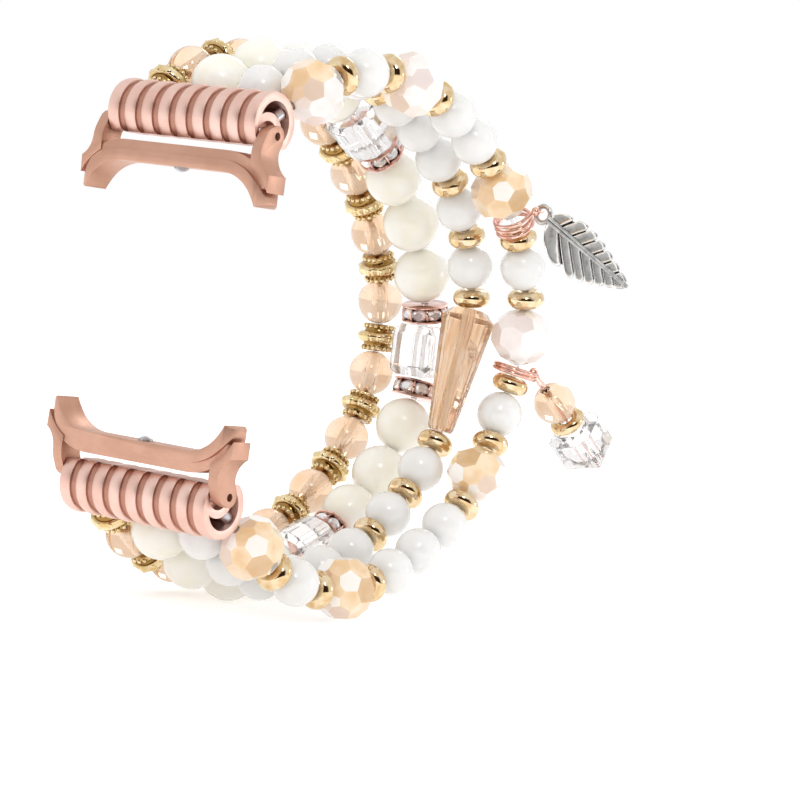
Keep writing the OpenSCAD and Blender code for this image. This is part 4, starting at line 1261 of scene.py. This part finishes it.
for side, end in ENDS:
    mesh = placed(coil(*(side * z for z in COIL_ENDS)), shift(0, CATCH_Y, 0))
    mesh.name = f"catch_coil_{end}"
    mesh.materials.append(SPRING_STEEL)
    spring = loose(mesh, mesh.name)
    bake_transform(spring)
    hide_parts(f"catch_spring_{end}")


# CAD nodes that keep their shape

KEPT = {
    STEEL: ["catch_plunger_{}", "spring_bar_tube_{}", "crimps_{}"],
    BROWN_STEEL: ["tip_{}_left", "tip_{}_right"],
    SPRING_STEEL: ["spring_bar_spring_{}"],
}
for material, names in KEPT.items():
    for name in names:
        for end in ("upper", "lower"):
            data = NODES[name.format(end)].data
            data.materials.clear()
            data.materials.append(material)


# Floor, room, lamps and camera

WHITE = (1, 1, 1, 1)


def room():
    """White surroundings. Metal and glass also see the tent's open front as a dim brown patch."""
    world = bpy.data.worlds.new("studio")
    bpy.context.scene.world = world
    world.use_nodes = True
    tree = world.node_tree
    tree.nodes.clear()

    def eased(value, start, end):
        return feed(tree, "ShaderNodeMapRange", {
            "Value": value, "From Min": start, "From Max": end
        }, interpolation_type="SMOOTHSTEP")

    def sky(colour, strength):
        return feed(tree, "ShaderNodeBackground", {"Color": colour, "Strength": strength})

    opening = (0.577, -0.816, 0.0)
    way = put(tree, "ShaderNodeTexCoord").outputs["Generated"]
    front = put(tree, "ShaderNodeVectorMath", {0: way, 1: opening}, operation="DOT_PRODUCT")
    height = put(tree, "ShaderNodeSeparateXYZ", {0: way}).outputs["Z"]
    low = reckon(tree, "ABSOLUTE", height)
    gap = reckon(tree, "MULTIPLY", eased(front.outputs["Value"], 0.54, 0.78),
                 eased(low, 0.6, 0.46))
    # Glass sees the patch a little fainter than metal does
    rays = put(tree, "ShaderNodeLightPath").outputs
    faint = reckon(tree, "MULTIPLY_ADD", rays["Is Transmission Ray"], -0.4, 1.0)
    tent = between(tree, reckon(tree, "MULTIPLY", gap, faint), "#FFFFFF", "#35261A")
    mirror = reckon(tree, "MAXIMUM", rays["Is Glossy Ray"], rays["Is Transmission Ray"])
    both = feed(tree, "ShaderNodeMixShader", {0: mirror, 1: sky(WHITE, 0.98), 2: sky(tent, 1.0)})
    seen = feed(tree, "ShaderNodeMixShader", {
        0: rays["Is Camera Ray"], 1: both, 2: sky(WHITE, 1.0)
    })
    put(tree, "ShaderNodeOutputWorld", {"Surface": seen})


def floor():
    """A plain white floor under the strap, which keeps its shadow."""
    made = bpy.data.materials.new("white_floor_board")
    made.use_nodes = True
    tree = made.node_tree
    tree.nodes.clear()
    board = feed(tree, "ShaderNodeBsdfDiffuse", {"Color": linear("#F2F2F2")})
    # It glows a little, and more where it is looked at straight, in a mirror or through glass
    rays = put(tree, "ShaderNodeLightPath").outputs
    sight = reckon(tree, "MAXIMUM", rays["Is Camera Ray"], rays["Is Glossy Ray"])
    sight = reckon(tree, "MAXIMUM", sight, rays["Is Transmission Ray"])
    glow = reckon(tree, "MULTIPLY_ADD", sight, 0.2, 0.25)
    fill = feed(tree, "ShaderNodeEmission", {"Color": WHITE, "Strength": glow})
    both = feed(tree, "ShaderNodeAddShader", {0: board, 1: fill})
    put(tree, "ShaderNodeOutputMaterial", {"Surface": both})
    low, reach = CAD_BOX[0].z - 0.0001, 3.0
    corners = [(x * reach, y * reach, low) for x, y in ((-1, -1), (1, -1), (1, 1), (-1, 1))]
    mesh = bpy.data.meshes.new("floor")
    mesh.from_pydata(corners, [], [(0, 1, 2, 3)])
    mesh.materials.append(made)
    loose(mesh, "floor")


def lamp(name, place, size, power):
    """A square softbox that faces the strap, sizes in metres and power in watts."""
    light = bpy.data.lights.new(name, "AREA")
    light.shape, light.size, light.energy = "SQUARE", size, power
    piece = loose(light, name)
    piece.location = place
    piece.rotation_mode = "QUATERNION"
    aim = Vector((0.005, 0.045, 0)) - Vector(place)
    piece.rotation_quaternion = aim.to_track_quat("-Z", "Y")


def camera():
    """The photograph's view. Angles are in degrees, moves in metres."""
    yaw, pitch, roll = (radians(a) for a in (35.29133, 2.44870, 7.68845))
    right, down, distance = 0.032638349, 0.011812259, 0.35
    back = Vector((sin(yaw) * cos(pitch), -cos(yaw) * cos(pitch),
                   sin(pitch)))
    level = Vector((cos(yaw), sin(yaw), 0))
    up = back.cross(level)
    across = cos(roll) * level + sin(roll) * up
    upward = -sin(roll) * level + cos(roll) * up
    place = right * across - down * upward + distance * back
    data = bpy.data.cameras.new("camera")
    data.lens, data.sensor_width = 133.178, 36
    piece = loose(data, "camera")
    facing = Matrix((across, upward, back)).transposed().to_4x4()
    piece.matrix_world = Matrix.Translation(place) @ facing
    bpy.context.scene.camera = piece


room()
floor()
lamp("key_softbox", (0.29, -0.36, 0.36), size=0.12, power=0.46)
lamp("right_softbox", (0.45, 0.42, 0.08), size=0.1, power=0.22)
lamp("rear_softbox", (-0.2, 0.6, 0.4), size=0.2, power=0.36)
camera()
bpy.context.scene.view_settings.view_transform = "Standard"
